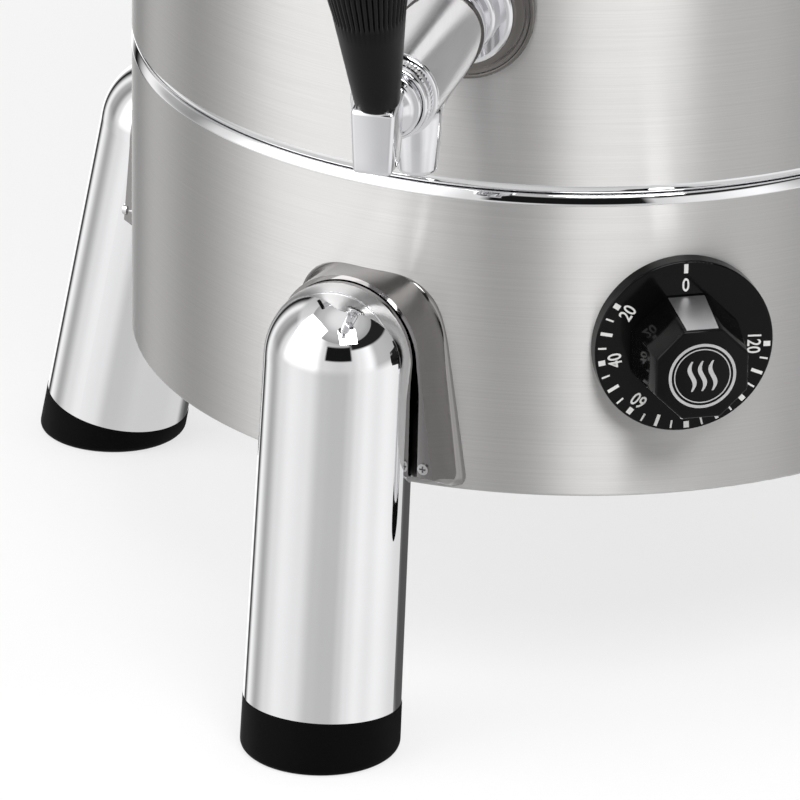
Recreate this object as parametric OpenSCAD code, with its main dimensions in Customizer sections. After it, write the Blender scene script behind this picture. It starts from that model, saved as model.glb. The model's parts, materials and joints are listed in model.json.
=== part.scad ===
// Coffee urn: a heated drum on four splayed legs, with a tank, a lid, a lever tap and a thermostat dial.
// Millimetres. The floor is z = 0, the drum axis is Z and the dial faces -Y.

/* [Drum and tank] */
// Outside diameter of the base drum and of the tank jacket
drum_d = 250; // [235:1:270]
// Height of the drum's lower edge above the floor
rim_z = 71; // [66:1:78]
// Height of the base drum
base_h = 88.8; // [84:0.4:96]
// Height of the tank jacket
jacket_h = 250; // [220:1:280]
// Thickness of the drum, jacket and cover sheet
sheet = 1.2; // [1:0.1:1.6]
// Radius of the two polished edges that meet at the seam
bead_r = 2.8; // [2.2:0.1:3.4]
// Width of the flanges that are bolted together inside the seam
flange_w = 18; // [15:1:22]
// Inside diameter of the tank
tank_d = 220; // [208:1:224]
// Thickness of the tank sheet
tank_sheet = 1; // [0.8:0.1:1.2]
// Least space that the insulation needs between the tank and the jacket
insulation_min = 5; // [4:0.5:8]
// Radius of the tank's bottom corner
tank_corner = 8; // [4:1:9]
// Depth of the tank floor below the tap axis
tank_sump = 20; // [18:0.5:24]
// Height of the polished ring on the tank's mouth
mouth_ring_h = 2.4; // [1.6:0.2:3.2]
// How far the polished ring laps down over the jacket
mouth_ring_lap = 5; // [3:0.5:8]
// Width of the tank's flange inside the polished ring, on which the lid rests
lid_seat_w = 6; // [5:0.5:8]

/* [Legs] */
// Angle of the front legs from the dial, to each side
leg_front_az = 40; // [34:1:45]
// Angle of the rear legs from the dial, to each side
leg_rear_az = 135; // [130:1:140]
// Outward lean of the front legs from the vertical
leg_front_splay = 5; // [4.6:0.1:6]
// Outward lean of the rear legs from the vertical
leg_rear_splay = 11.7; // [11:0.1:12.4]
// Distance of each front leg's axis outside the drum's radius, at the floor
leg_front_out = 26.5; // [25.5:0.1:27.5]
// Distance of each rear leg's axis outside the drum's radius, at the floor
leg_rear_out = 32.4; // [31:0.1:34]
// Diameter of the leg tube under its domed top
leg_top_d = 41.6; // [40:0.2:44]
// Diameter of a front leg's tube at its lower end
leg_low_d = 43.8; // [42.4:0.2:46]
// Diameter of a rear leg's tube at its lower end
leg_rear_low_d = 42.2; // [41.8:0.2:44]
// Height of the centre of a front leg's domed top
leg_front_dome_z = 112.6; // [108:0.2:116]
// Height of the centre of a rear leg's domed top
leg_rear_dome_z = 101.2; // [98:0.2:106]
// Wall of the leg tube
leg_wall = 1.5; // [1.2:0.1:2]
// Height of a front leg's rubber foot on the leg's axis
foot_h = 14; // [11:0.5:18]
// Height of a rear leg's rubber foot on the leg's axis
foot_rear_h = 10.6; // [9:0.2:14]
// Depth of the foot's plug inside the tube
foot_plug_h = 12; // [8:1:16]
// Thread diameter of the leg bolts
leg_bolt_d = 6; // [5:0.5:6]
// Height of the lower leg bolt above the drum's lower edge
leg_bolt_low = 14; // [12:0.5:16]
// Distance between the two bolts of one leg
leg_bolt_pitch = 20; // [16:0.5:22]

/* [Leg saddles] */
// Distance from the drum wall out to the saddle's front ledge
saddle_reach = 12; // [10:0.5:13]
// Width of the saddle beside the leg, where its concave flare ends on the drum
saddle_flare = 2.5; // [2:0.1:4]
// Width of the saddle above the leg's domed top, negative where it falls away behind the dome
saddle_crown = -1.3; // [-2:0.1:1]
// Extra width of the saddle at its two upper corners
saddle_shoulder = 2.6; // [0:0.1:3.5]
// Height of the saddle's lower edge above the drum's lower edge, on the wall
saddle_lift = 2.2; // [1:0.1:4]
// Angle at which the saddle's lower end is cut, rising away from the wall
saddle_slant = 27; // [15:1:32]
// Width of the saddle's front ledge at the top
saddle_rim = 0.6; // [0.4:0.1:1]
// Angle at which the saddle's sides spread downwards
saddle_spread = 7.7; // [5:0.1:9]
// Head diameter of the small saddle screws
saddle_screw_d = 3.2; // [2.8:0.1:3.4]
// Height of the saddle screws above the drum's lower edge
saddle_screw_up = 11; // [9:0.5:14]

/* [Dial] */
// Diameter of the dial disc
dial_d = 50; // [46:1:56]
// Height of the dial axis above the drum's lower edge
dial_up = 46.2; // [42:0.2:50]
// Depth of the dial disc, front to back
dial_depth = 4.6; // [4.2:0.1:5.6]
// Gap between the dial disc and the drum
dial_gap = 1; // [0.8:0.1:1.4]
// Width across the flats of the octagonal grip where it meets the disc
grip_base_w = 30; // [27:0.5:33]
// Width across the flats of the octagonal grip at its front
grip_front_w = 25.6; // [22:0.2:27]
// Height of the octagonal grip
grip_h = 20; // [16:0.5:24]
// Diameter of the thermostat spindle
spindle_d = 6; // [5:0.5:6.5]

/* [Tap] */
// Angle of the tap from the dial, negative to the viewer's left
tap_az = -28; // [-32:0.2:-24]
// Height of the tap axis above the seam
tap_up = 53.2; // [49:0.2:57]
// Diameter of the dished plate behind the tap
plate_d = 41; // [37:0.5:46]
// Diameter of the tap's flange nut
tap_nut_d = 30.8; // [27:0.2:33]
// Diameter of the tap's threaded shank
shank_d = 14.8; // [14:0.2:15.2]
// Diameter of the barrel's wide front end and of the bonnet
barrel_d = 23.4; // [22:0.2:25]
// Distance from the wall to the barrel's front end
barrel_out = 67.5; // [64:0.5:70]
// Length over which the barrel swells from its narrow neck
barrel_swell = 14; // [11:0.5:16]
// Distance from the wall to the spout axis
spout_out = 44.5; // [43:0.5:47]
// Drop from the tap axis to the spout's lower end
spout_drop = 30.6; // [28:0.2:33]
// Diameter of the spout at its lower end
spout_d = 10.8; // [10.2:0.2:12]
// Bore of the spout
spout_bore_d = 6.4; // [5.4:0.2:6.6]
// Diameter of the turning plug in the barrel
plug_d = 15.6; // [14.6:0.2:16.4]
// Diameter of the tap stem
stem_d = 9; // [7:0.5:10]
// Length of the bonnet along the tap axis
bonnet_h = 7.2; // [6.4:0.2:9]
// Number of notches round the bonnet
bonnet_notches = 28; // [16:2:36]

/* [Tap lever] */
// Width of the lever block at its top
block_w = 12; // [11:0.2:13]
// Width of the lever block at its lower end
block_low_w = 10.4; // [9.4:0.2:11.4]
// Depth of the lever block along the tap axis
block_depth = 11; // [10.4:0.2:12]
// Drop from the tap axis to the lower end of the lever block
block_drop = 14.2; // [12:0.2:16]
// Rise from the tap axis to the block's upper front edge
block_rise = 3.5; // [2.4:0.1:4.4]
// Length of the dished hub between the bonnet and the block
hub_h = 4.6; // [4:0.2:7]
// Gap between the bonnet and the lever
lever_gap = 0.6; // [0.4:0.1:1.2]
// Outward lean of the lever grip
lever_lean = 17.5; // [12:0.5:20]
// Diameter of the grip at its lower end
grip_low_d = 12.2; // [11:0.2:13]
// Diameter of the grip where its flutes start
grip_mid_d = 19.2; // [17.6:0.2:20.4]
// Widest diameter of the grip
grip_wide_d = 26; // [23:0.2:28]
// Length of the plain cone below the flutes
grip_cone_h = 30; // [27:0.5:34]
// Whole length of the grip
grip_len = 84; // [76:1:92]

/* [Lid and handles] */
// Rise of the domed lid
lid_rise = 26; // [20:1:32]
// Height of the lid knob
knob_h = 28; // [24:1:34]
// Diameter of the lid knob
knob_d = 38; // [32:1:44]
// Height of the side handles above the seam
handle_up = 172; // [150:1:190]
// Distance between the two posts of one handle
handle_pitch = 84; // [76:1:92]
// Distance from the drum radius out to the grip axis of a handle
handle_out = 34; // [30:1:38]
// Diameter of a handle post
post_d = 10; // [9:0.5:12]
// Diameter of a handle grip
handle_grip_d = 17; // [15:0.5:19]

/* [Power and heat] */
// Bore of the cable gland for the supply cord
gland_bore_d = 7.2; // [6:0.2:8.4]
// Diameter of the heater plate under the tank
heater_d = 156; // [144:2:168]
// Thickness of the heater plate
heater_t = 5; // [4:0.5:7]
// Length of the heating rod's two upright ends
element_leg = 18; // [14:1:20]
// Diameter of the heating rod
element_d = 8; // [7:0.5:8.5]
// Diameter of the heating ring on its centre line
element_ring_d = 120; // [110:1:130]

/* [Fits] */
// Radial clearance of a turning shaft in its bore
run_clear = 0.05; // [0.03:0.01:0.08]
// Radial clearance of a fixed shaft or bolt in its hole
bolt_clear = 0.1; // [0.05:0.05:0.2]
// Gap between the lid and what it rests on or slides past
lid_clear = 0.3; // [0.3:0.05:0.5]

/* [Hidden] */
$fn = 64;
tank_r = tank_d / 2;
tank_out_r = tank_r + tank_sheet;
drum_r = max(drum_d / 2, tank_out_r + insulation_min + sheet);
seam_z = rim_z + base_h;
top_z = seam_z + jacket_h;
tap_z = seam_z + tap_up;
dial_z = rim_z + dial_up;
tank_z = tap_z - tank_sump;
wall_in_r = drum_r - sheet;
seat = 0.02;
cut = 1;
leg_az = [-leg_front_az, leg_front_az, leg_rear_az, -leg_rear_az];
leg_top_r = leg_top_d / 2;
insert_z = [rim_z + leg_bolt_low - 8, rim_z + leg_bolt_low + leg_bolt_pitch + 8];
bolt_z = [rim_z + leg_bolt_low, rim_z + leg_bolt_low + leg_bolt_pitch];
saddle_front_r = drum_r + saddle_reach;
saddle_screw_z = rim_z + saddle_screw_up;
saddle_low_z = rim_z + saddle_lift;
saddle_steps = 10;
saddle_corner = 4;
saddle_gap = 0.3;
foot_lip = 0.15;
saddle_screw_t = leg_top_r + saddle_gap + saddle_screw_d / 2 + 0.7;
dial_front = dial_gap + dial_depth;
spindle_r = spindle_d / 2;
spindle_end = dial_front + grip_h - 6;
plug_r = plug_d / 2;
neck_out = 9.1;
plug_back = spout_out - 9.5;
plug_front = barrel_out - 1.5;
stem_r = stem_d / 2;
shank_r = shank_d / 2;
shank_end = drum_r - tank_r + 9.5;
bonnet_front = barrel_out + bonnet_h;
hub_back = bonnet_front + lever_gap;
block_back = hub_back + hub_h;
block_front = block_back + block_depth;
grip_foot = [block_back + block_depth / 2, block_rise + 0.8];
tang_r = stem_r - 2.5;
cover_z = rim_z + sheet;
heater_top = tank_z - tank_sheet;
element_z = heater_top - heater_t - element_d / 2;
handle_z = seam_z + handle_up;
post_t = handle_pitch / 2;
gland_z = rim_z + 21;
lid_r = tank_r + lid_seat_w - lid_clear;
lid_ball_r = ((lid_r - 6) * (lid_r - 6) + lid_rise * lid_rise) / (2 * lid_rise);
lid_base = top_z + lid_clear;
lid_top = lid_base + 1 + lid_rise;
// How far the round wall has fallen back beside the handle's middle
post_back = drum_r - sqrt(drum_r * drum_r - pow(post_t - post_d / 2, 2));

// Values that differ between the front and the rear legs

function is_rear(az) = abs(az) > 90;
function leg_splay(az) = is_rear(az) ? leg_rear_splay : leg_front_splay;
function leg_out(az) = drum_r + (is_rear(az) ? leg_rear_out : leg_front_out);
function leg_dome_z(az) = is_rear(az) ? leg_rear_dome_z : leg_front_dome_z;
function leg_dome_w(az) = leg_dome_z(az) / cos(leg_splay(az));
function leg_low_r(az) = (is_rear(az) ? leg_rear_low_d : leg_low_d) / 2;
function foot_top(az) = is_rear(az) ? foot_rear_h : foot_h;
function leg_taper(az) = (leg_low_r(az) - leg_top_r) / (leg_dome_w(az) - foot_top(az));
function leg_axis_r(az, z) = leg_out(az) - z * tan(leg_splay(az));

// Places

// Child's +Z points straight out of the drum at this angle, its +Y points up
module outward(az, r, z) rotate([0, 0, az]) translate([0, -r, z]) rotate([90, 0, 0]) children();

// Child's +Z runs up the axis of the leg at this angle, from the floor
module on_leg(az) rotate([0, 0, az]) translate([0, -leg_out(az), 0]) rotate([-leg_splay(az), 0, 0]) children();

module on_tap() outward(tap_az, drum_r, tap_z) children();

// Child's +Z runs up the lever grip
module on_grip() on_tap() translate([0, grip_foot[1], grip_foot[0]]) rotate([lever_lean - 90, 0, 0]) children();

// Shared shapes

// Half section of a turned block, with rounded outer corners
module turned_section(r, z0, z1, top = 0, low = 0) {
    difference() {
        translate([0, z0]) square([r, z1 - z0]);
        if (top > 0) translate([r - top, z1 - top]) corner_waste(top);
        if (low > 0) translate([r - low, z0 + low]) mirror([0, 1]) corner_waste(low);
    }
}

module corner_waste(r) difference() {
    square(r + cut);
    circle(r);
}

module ring(r_out, r_in, z0, z1) translate([0, 0, z0]) difference() {
    cylinder(r = r_out, h = z1 - z0);
    translate([0, 0, -cut]) cylinder(r = r_in, h = z1 - z0 + 2 * cut);
}

module hex_nut(across, bore_r, h) difference() {
    cylinder(d = across / cos(30), h = h, $fn = 6);
    translate([0, 0, -cut]) cylinder(r = bore_r, h = h + 2 * cut);
}

// Cross recess of a screw head, sunk from its top face
module cross_recess(size, depth) for (a = [0, 90])
    rotate([0, 0, a]) cube([size, size / 4, 2 * depth], center = true);

module round_rect(w, h, r) {
    square([w - 2 * r, h], center = true);
    square([w, h - 2 * r], center = true);
    for (x = [-1, 1], y = [-1, 1]) translate([x * (w / 2 - r), y * (h / 2 - r)]) circle(r);
}

// Base drum and its cover

module base_drum() color("silver") difference() {
    rotate_extrude($fn = 128) difference() {
        turned_section(drum_r, rim_z, seam_z, top = bead_r, low = 0.8);
        turned_section(wall_in_r, rim_z + sheet, seam_z - sheet, top = bead_r - sheet);
        translate([0, rim_z - cut]) square([drum_r - 13, sheet + 2 * cut]);
        translate([0, seam_z - sheet - cut]) square([drum_r - flange_w, sheet + 2 * cut]);
    }
    outward(0, drum_r, dial_z) translate([0, 0, -10]) cylinder(r = 5 + bolt_clear, h = 20);
    outward(180, drum_r, gland_z) translate([0, 0, -10]) cylinder(r = 8 + bolt_clear, h = 20);
    for (a = leg_az, z = bolt_z)
        outward(a, drum_r, z) translate([0, 0, -10]) cylinder(r = leg_bolt_d / 2 + bolt_clear, h = 20);
    for (a = leg_az, s = [-1, 1]) outward(a, drum_r, saddle_screw_z)
        translate([s * saddle_screw_t, 0, -16]) cylinder(r = 0.8 + bolt_clear, h = 20);
    seam_bolt_places() translate([0, 0, -6]) cylinder(r = 2 + bolt_clear, h = 12);
    cover_screw_places() translate([0, 0, -6]) cylinder(r = 1.5 + bolt_clear, h = 12);
}

module seam_bolt_places() for (a = [15 : 60 : 345])
    rotate([0, 0, a]) translate([drum_r - flange_w + 7, 0, seam_z]) children();

module cover_screw_places() for (a = [0 : 60 : 300])
    rotate([0, 0, a]) translate([drum_r - 8, 0, rim_z]) children();

module bottom_cover() color("gray") difference() {
    translate([0, 0, cover_z]) cylinder(r = wall_in_r - 0.4, h = sheet);
    cover_screw_places() translate([0, 0, -6]) cylinder(r = 1.5 + bolt_clear, h = 12);
    for (a = [0 : 30 : 330]) rotate([0, 0, a]) translate([62, 0, cover_z - cut])
        linear_extrude(sheet + 2 * cut) round_rect(26, 5, 2.4);
}

module cover_screws() color("dimgray") cover_screw_places() difference() {
    union() {
        translate([0, 0, -2]) cylinder(r = 2.8, h = 2 - seat);
        translate([0, 0, -0.5]) cylinder(r = 1.5, h = 6.5);
    }
    translate([0, 0, -2]) cross_recess(3, 0.9);
}

// Tank

module tank_jacket() color("silver") difference() {
    rotate_extrude($fn = 128) difference() {
        turned_section(drum_r, seam_z, top_z, low = bead_r);
        turned_section(wall_in_r, seam_z + sheet, top_z + cut, low = bead_r - sheet);
        translate([0, seam_z - cut]) square([drum_r - flange_w, sheet + 2 * cut]);
    }
    on_tap() translate([0, 0, -10]) cylinder(r = shank_r + bolt_clear, h = 20);
    handle_post_places() translate([0, 0, -20]) cylinder(r = 3 + bolt_clear, h = 40);
    seam_bolt_places() translate([0, 0, -6]) cylinder(r = 2 + bolt_clear, h = 12);
}

module seam_bolts() color("dimgray") seam_bolt_places() {
    translate([0, 0, sheet + seat]) cylinder(d = 7 / cos(30), h = 2.8, $fn = 6);
    translate([0, 0, -sheet - 3.4]) cylinder(r = 2, h = 2 * sheet + 3.8);
    translate([0, 0, -sheet - seat - 3.2]) hex_nut(7, 2 + seat, 3.2);
}

module inner_tank() color("gainsboro") difference() {
    rotate_extrude($fn = 128) difference() {
        union() {
            turned_section(tank_out_r, tank_z - tank_sheet, top_z, low = tank_corner + tank_sheet);
            translate([0, top_z - tank_sheet]) square([wall_in_r - seat, tank_sheet]);
        }
        turned_section(tank_r, tank_z, top_z + cut, low = tank_corner);
    }
    on_tap() translate([0, 0, -40]) cylinder(r = shank_r + bolt_clear, h = 50);
}

module insulation() color("khaki") difference() {
    ring(wall_in_r - 0.3, tank_out_r + 0.3, tank_z + tank_corner, top_z - tank_sheet - 0.3);
    on_tap() translate([0, 0, -30]) cylinder(r = shank_r + 3.4, h = 40);
    handle_post_places() translate([0, 0, -30]) cylinder(r = 7.5, h = 40);
}

module mouth_ring() color("silver") rotate_extrude($fn = 128) difference() {
    turned_section(drum_r + 1.6, top_z - mouth_ring_lap, top_z + mouth_ring_h, top = 1.4, low = 0.7);
    square([drum_r + seat, top_z + seat]);
    square([tank_r + lid_seat_w, top_z + mouth_ring_h + cut]);
}

// Legs

// Half section of the bullet that forms the leg, shrunk by a wall thickness
module leg_section(az, shrink, low_w) {
    dome_w = leg_dome_w(az);
    low_r = leg_low_r(az) - shrink + (foot_top(az) - low_w) * leg_taper(az);
    polygon([[0, low_w], [low_r, low_w], [leg_top_r - shrink, dome_w], [0, dome_w]]);
    intersection() {
        translate([0, dome_w]) circle(leg_top_r - shrink);
        translate([0, dome_w - cut]) square(leg_top_d);
    }
}

module drum_space(gap) translate([0, 0, rim_z - gap]) cylinder(r = drum_r + gap, h = base_h, $fn = 128);

module leg_bolt_holes(az) for (z = bolt_z) outward(az, drum_r, z) translate([0, 0, -20])
    cylinder(r = leg_bolt_d / 2 + bolt_clear, h = 32);

module leg(az) color("lightgray") difference() {
    on_leg(az) rotate_extrude() difference() {
        leg_section(az, 0, foot_top(az));
        leg_section(az, leg_wall, foot_top(az) - cut);
    }
    drum_space(seat);
    leg_bolt_holes(az);
}

module foot(az) color("black") intersection() {
    on_leg(az) rotate_extrude() foot_section(leg_low_r(az), foot_top(az), leg_taper(az));
    rotate([0, 0, az]) translate([0, -leg_out(az), 0])
        rotate([0, 0, 50]) cylinder(r1 = leg_low_r(az) - 1.1, r2 = leg_low_r(az) + 50.9, h = 40);
}

// Half section of the rubber foot with its plug, before the floor trims it
module foot_section(low_r, top, taper) {
    polygon([[0, -8], [low_r + (top + 8) * taper + foot_lip, -8], [low_r + foot_lip, top - 0.6],
        [low_r - 0.3, top - seat], [0, top - seat]]);
    translate([0, top - cut]) square([low_r - leg_wall - 0.35, foot_plug_h + cut]);
}

module leg_inserts() color("dimgray") for (a = leg_az) difference() {
    intersection() {
        on_leg(a) rotate_extrude() leg_section(a, leg_wall + seat, foot_top(a));
        translate([-drum_d, -drum_d, insert_z[0]]) cube([2 * drum_d, 2 * drum_d, insert_z[1] - insert_z[0]]);
    }
    drum_space(seat);
    leg_bolt_holes(a);
}

module leg_bolts() color("dimgray") for (a = leg_az, z = bolt_z) outward(a, wall_in_r, z) {
    translate([0, 0, -5.4]) cylinder(d = leg_bolt_d * 5 / 3 / cos(30), h = 4, $fn = 6);
    translate([0, 0, -1.5]) cylinder(d = leg_bolt_d * 3, h = 1.2);
    translate([0, 0, -1]) cylinder(r = leg_bolt_d / 2, h = 12);
}

// Saddles: a cast flare that fills the corner between the leg and the drum wall. Its section is lofted up
// one side of the leg, over the domed top and down the other side.

function wall_r(t) = sqrt(pow(drum_r + seat, 2) - t * t);
function blend(a, b, v) = a + (b - a) * v;

// Stations of the loft: the direction away from the leg, and the height that it starts from
function saddle_stations(az) = concat(
    [for (i = [0 : saddle_steps]) [0, blend(saddle_low_z, leg_dome_z(az), i / saddle_steps)]],
    [for (a = [7.5 : 7.5 : 172.5]) [a, leg_dome_z(az)]],
    [for (i = [saddle_steps : -1 : 0]) [180, blend(saddle_low_z, leg_dome_z(az), i / saddle_steps)]]);

// Rise of a section's points away from the wall, so that the lower end is cut at a slant
function saddle_rise(az, r, z) =
    (r - drum_r) * tan(saddle_slant) * (leg_dome_z(az) - z) / (leg_dome_z(az) - saddle_low_z);

// Section at one station: flare, back along the drum wall, then forward along the leg
function saddle_section(az, dir, z) =
    let (front_z = z + saddle_rise(az, saddle_front_r, z), leg_c = leg_axis_r(az, front_z),
        below = leg_dome_z(az) - z, leg_r = leg_top_r + below * leg_taper(az) + saddle_gap,
        flare = blend(saddle_flare, saddle_crown, sin(dir)) + saddle_shoulder * pow(sin(2 * dir), 2),
        spread = below * tan(saddle_spread),
        corner = max(0, saddle_corner - (z - saddle_low_z)),
        rounding = saddle_corner - sqrt(pow(saddle_corner, 2) - corner * corner),
        ledge_t = leg_r + saddle_rim + spread * 0.75,
        edge_t = leg_r + flare + spread - rounding,
        ledge = [ledge_t, saddle_front_r],
        bend_t = min(ledge_t, edge_t), bend = [bend_t, wall_r(bend_t * cos(dir))],
        edge = [edge_t, wall_r(edge_t * cos(dir)) + 0.4],
        deep = asin((leg_c - wall_r(15 * cos(dir))) / leg_r), shallow = asin((leg_c - saddle_front_r) / leg_r))
    concat(
        [for (v = [0 : 0.125 : 1]) blend(blend(ledge, bend, v), blend(bend, edge, v), v)],
        [for (v = [0 : 0.25 : 0.75]) let (t = blend(edge_t, leg_r * cos(deep), v)) [t, wall_r(t * cos(dir))]],
        [for (v = [0 : 0.25 : 1]) let (a = blend(deep, shallow, v))
            [leg_r * cos(a), max(leg_c - leg_r * sin(a), wall_r(leg_r * cos(a) * cos(dir)))]]);

function saddle_ring(az, s) = [for (p = saddle_section(az, s[0], s[1]))
    [p[0] * cos(s[0]), s[1] + p[0] * sin(s[0]) + saddle_rise(az, p[1], s[1]), p[1]]];

module saddle(az) color("lightgray") difference() {
    rings = [for (s = saddle_stations(az)) saddle_ring(az, s)];
    n = len(rings[0]);
    m = len(rings);
    outward(az, 0, 0) polyhedron([for (r = rings, p = r) p], concat(
        [[for (j = [0 : n - 1]) j], [for (j = [n - 1 : -1 : 0]) (m - 1) * n + j]],
        [for (i = [0 : m - 2], j = [0 : n - 1]) [i * n + j, (i + 1) * n + j, (i + 1) * n + (j + 1) % n]],
        [for (i = [0 : m - 2], j = [0 : n - 1]) [i * n + j, (i + 1) * n + (j + 1) % n, i * n + (j + 1) % n]]));
    for (s = [-1, 1]) saddle_screw_place(az, s) {
        translate([0, 0, -30]) cylinder(r = 0.8 + bolt_clear, h = 40);
        translate([0, 0, -1.2]) cylinder(r = saddle_screw_d / 2 + bolt_clear, h = 10);
    }
}

module saddle_screw_place(az, s) outward(az, saddle_front_r, saddle_screw_z)
    translate([s * saddle_screw_t, 0, 0]) children();

module saddle_screws() color("silver") for (a = leg_az, s = [-1, 1]) saddle_screw_place(a, s) difference() {
    union() {
        translate([0, 0, -1.2 + seat]) cylinder(r = saddle_screw_d / 2, h = 1.4);
        translate([0, 0, -saddle_reach - 6]) cylinder(r = 0.8, h = saddle_reach + 5.5);
    }
    translate([0, 0, 0.2]) cross_recess(saddle_screw_d * 0.6, 0.7);
}

// Dial and thermostat, on the dial's axis

module on_dial() outward(0, drum_r, dial_z) children();

module dial_disc() color("black") on_dial() difference() {
    rotate_extrude() {
        difference() {
            turned_section(dial_d / 2, dial_gap, dial_front, top = 0.6);
            turned_section(dial_d / 2 - 1.6, dial_gap - cut, dial_front - 1.6);
        }
        translate([spindle_r + seat, dial_gap + 2.2]) square([4, dial_depth - 2.4]);
    }
    translate([0, 0, -cut]) cylinder(r = spindle_r + seat, h = 20);
}

module dial_grip() color("black") on_dial() difference() {
    translate([0, 0, dial_front + seat]) rotate([0, 0, 22.5]) cylinder(d1 = grip_base_w / cos(22.5),
        d2 = grip_front_w / cos(22.5), h = grip_h, $fn = 8);
    cylinder(r = spindle_r + seat, h = spindle_end + 0.5);
}

module thermostat_spindle() color("silver") on_dial()
    translate([0, 0, -12]) cylinder(r = spindle_r, h = 12 + spindle_end);

module thermostat_body() color("ivory") on_dial() difference() {
    union() {
        translate([-18, -15, -34]) cube([36, 30, 31.2]);
        translate([0, 0, -3.4]) cylinder(r = 8, h = 3.4 - sheet - 0.3);
        translate([0, 0, -4]) cylinder(r = 5, h = 6.2);
    }
    translate([0, 0, -12 - lid_clear]) cylinder(r = spindle_r + run_clear, h = 20);
}

module thermostat_nut() color("silver") on_dial() translate([0, 0, 0.1]) hex_nut(14, 5 + seat, 1.8);

module thermostat_bulb() color("peru") {
    translate([0, 0, element_z - element_d / 2 - 2 - 3.15]) rotate([0, 90, 0])
        translate([0, 34, -25]) cylinder(r = 3.1, h = 50);
    hull() {
        translate([-18, 34, element_z - element_d / 2 - 5.15]) sphere(r = 1.2, $fn = 16);
        translate([-18, -drum_r + 30, dial_z + 16]) sphere(r = 1.2, $fn = 16);
    }
}

// Heater under the tank

module heater_plate() color("silver") difference() {
    translate([0, 0, heater_top - heater_t]) cylinder(d = heater_d, h = heater_t - seat);
    translate([0, 0, heater_top - 10]) cylinder(r = 3 + bolt_clear, h = 20);
}

module heating_element() color("dimgray") translate([0, 0, element_z]) {
    rotate([0, 0, 105]) rotate_extrude(angle = 330) translate([element_ring_d / 2, 0]) circle(d = element_d);
    for (a = [105, 75]) rotate([0, 0, a]) translate([element_ring_d / 2, 0, -element_d / 2 - element_leg])
        cylinder(r = element_d / 2 - 0.8, h = element_d / 2 + element_leg);
}

module heater_clamp() color("gray") difference() {
    translate([0, 0, element_z - element_d / 2 - 2]) cylinder(r = element_ring_d / 2 + 12, h = 2 - seat);
    translate([0, 0, element_z - 20]) cylinder(r = 3 + bolt_clear, h = 40);
    for (a = [105, 75]) rotate([0, 0, a]) translate([element_ring_d / 2, 0, element_z - 20])
        cylinder(r = element_d / 2 - 0.4, h = 40);
}

module heater_nut() color("silver") {
    translate([0, 0, element_z - element_d / 2 - 7]) cylinder(r = 3, h = heater_top - element_z + element_d / 2 + 6.9);
    translate([0, 0, element_z - element_d / 2 - 2 - 5]) hex_nut(10, 3 + seat, 5 - seat);
}

module thermal_cutout() color("saddlebrown") translate([-30, -10, element_z - element_d / 2 - 2]) {
    translate([0, 0, -7]) cylinder(r = 8, h = 7 - seat);
    for (s = [-1, 1]) translate([s * 4 - 1.5, -0.4, -14]) cube([3, 0.8, 7.5]);
}

// Power

module terminal_block() color("white") translate([0, 62, cover_z + sheet + seat]) difference() {
    translate([-20, -8, 0]) cube([40, 16, 15]);
    for (x = [-12, 0, 12]) translate([x, -9, 8]) rotate([-90, 0, 0]) cylinder(r = 2.2, h = 18);
    for (x = [-12, 0, 12], y = [-4, 4]) translate([x, y, 8]) cylinder(r = 1.6, h = 10);
}

module cable_gland() color("black") outward(180, drum_r, gland_z) difference() {
    rotate_extrude() {
        translate([0, -14]) square([8, 15]);
        turned_section(11, 0.6, 7, top = 1);
        turned_section(9, 6, 16, top = 2.5);
    }
    translate([0, 0, -20]) cylinder(d = gland_bore_d, h = 50);
}

module gland_nut() color("black") outward(180, drum_r, gland_z)
    translate([0, 0, -sheet - 0.8 - 5]) hex_nut(20, 8 + seat, 5);

// Tap: outlet through the jacket and the tank wall

module tap_plate() color("silver") on_tap() rotate_extrude() polygon([[shank_r + bolt_clear, 0.1],
    [plate_d / 2, 0.1], [plate_d / 2, 1], [plate_d / 2 - 0.9, 1.5], [plate_d / 2 - 2.2, 1.2],
    [tap_nut_d / 2 - 1, 1], [tap_nut_d / 2 - 1, 2], [shank_r + bolt_clear, 2]]);

module tap_flange_nut() color("silver") on_tap() rotate_extrude() difference() {
    union() {
        turned_section(tap_nut_d / 2, 2 + seat, 5.6, top = 1.6);
        turned_section(tap_nut_d / 2 - 4, 5, 9, top = 1.2);
    }
    square([shank_r + seat, 20]);
}

// Half section of the barrel: a narrow neck that swells to the bonnet's width
module barrel_section() polygon([[0, neck_out], for (a = [0 : 9 : 90])
    [blend(shank_r - 0.2, barrel_d / 2, sin(a)), neck_out + barrel_swell * (1 - cos(a))],
    [barrel_d / 2, barrel_out], [0, barrel_out]]);

module tap_body() color("silver") on_tap() difference() {
    union() {
        translate([0, 0, -shank_end]) cylinder(r = shank_r, h = shank_end + 10);
        rotate_extrude() barrel_section();
        translate([0, 0, spout_out]) rotate([90, 0, 0]) rotate_extrude() difference() {
            polygon([[0, 0], [spout_d / 2 + 3, 0], [spout_d / 2, spout_drop], [0, spout_drop]]);
            translate([spout_d / 2 - 1.6, spout_drop - 1.6]) corner_waste(1.6);
        }
    }
    translate([0, 0, -shank_end - cut]) cylinder(r = 4.6, h = shank_end + plug_back + 2 * cut);
    translate([0, 0, plug_back]) cylinder(r = plug_r + run_clear, h = barrel_out);
    translate([0, 0, spout_out]) rotate([90, 0, 0]) cylinder(d = spout_bore_d, h = spout_drop + cut);
}

module tap_spacer() color("gray") on_tap()
    ring(shank_r + 2.6, shank_r + bolt_clear, -(drum_r - tank_out_r) + 0.6, -sheet - 0.6);

module tap_gasket() color("black") on_tap()
    ring(shank_r + 4.4, shank_r + seat, -(drum_r - tank_r) - 2.9, -(drum_r - tank_r) - 0.9);

module tap_back_nut() color("silver") on_tap() translate([0, 0, -(drum_r - tank_r) - 8.9])
    hex_nut(22, shank_r + seat, 6 - seat);

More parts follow.
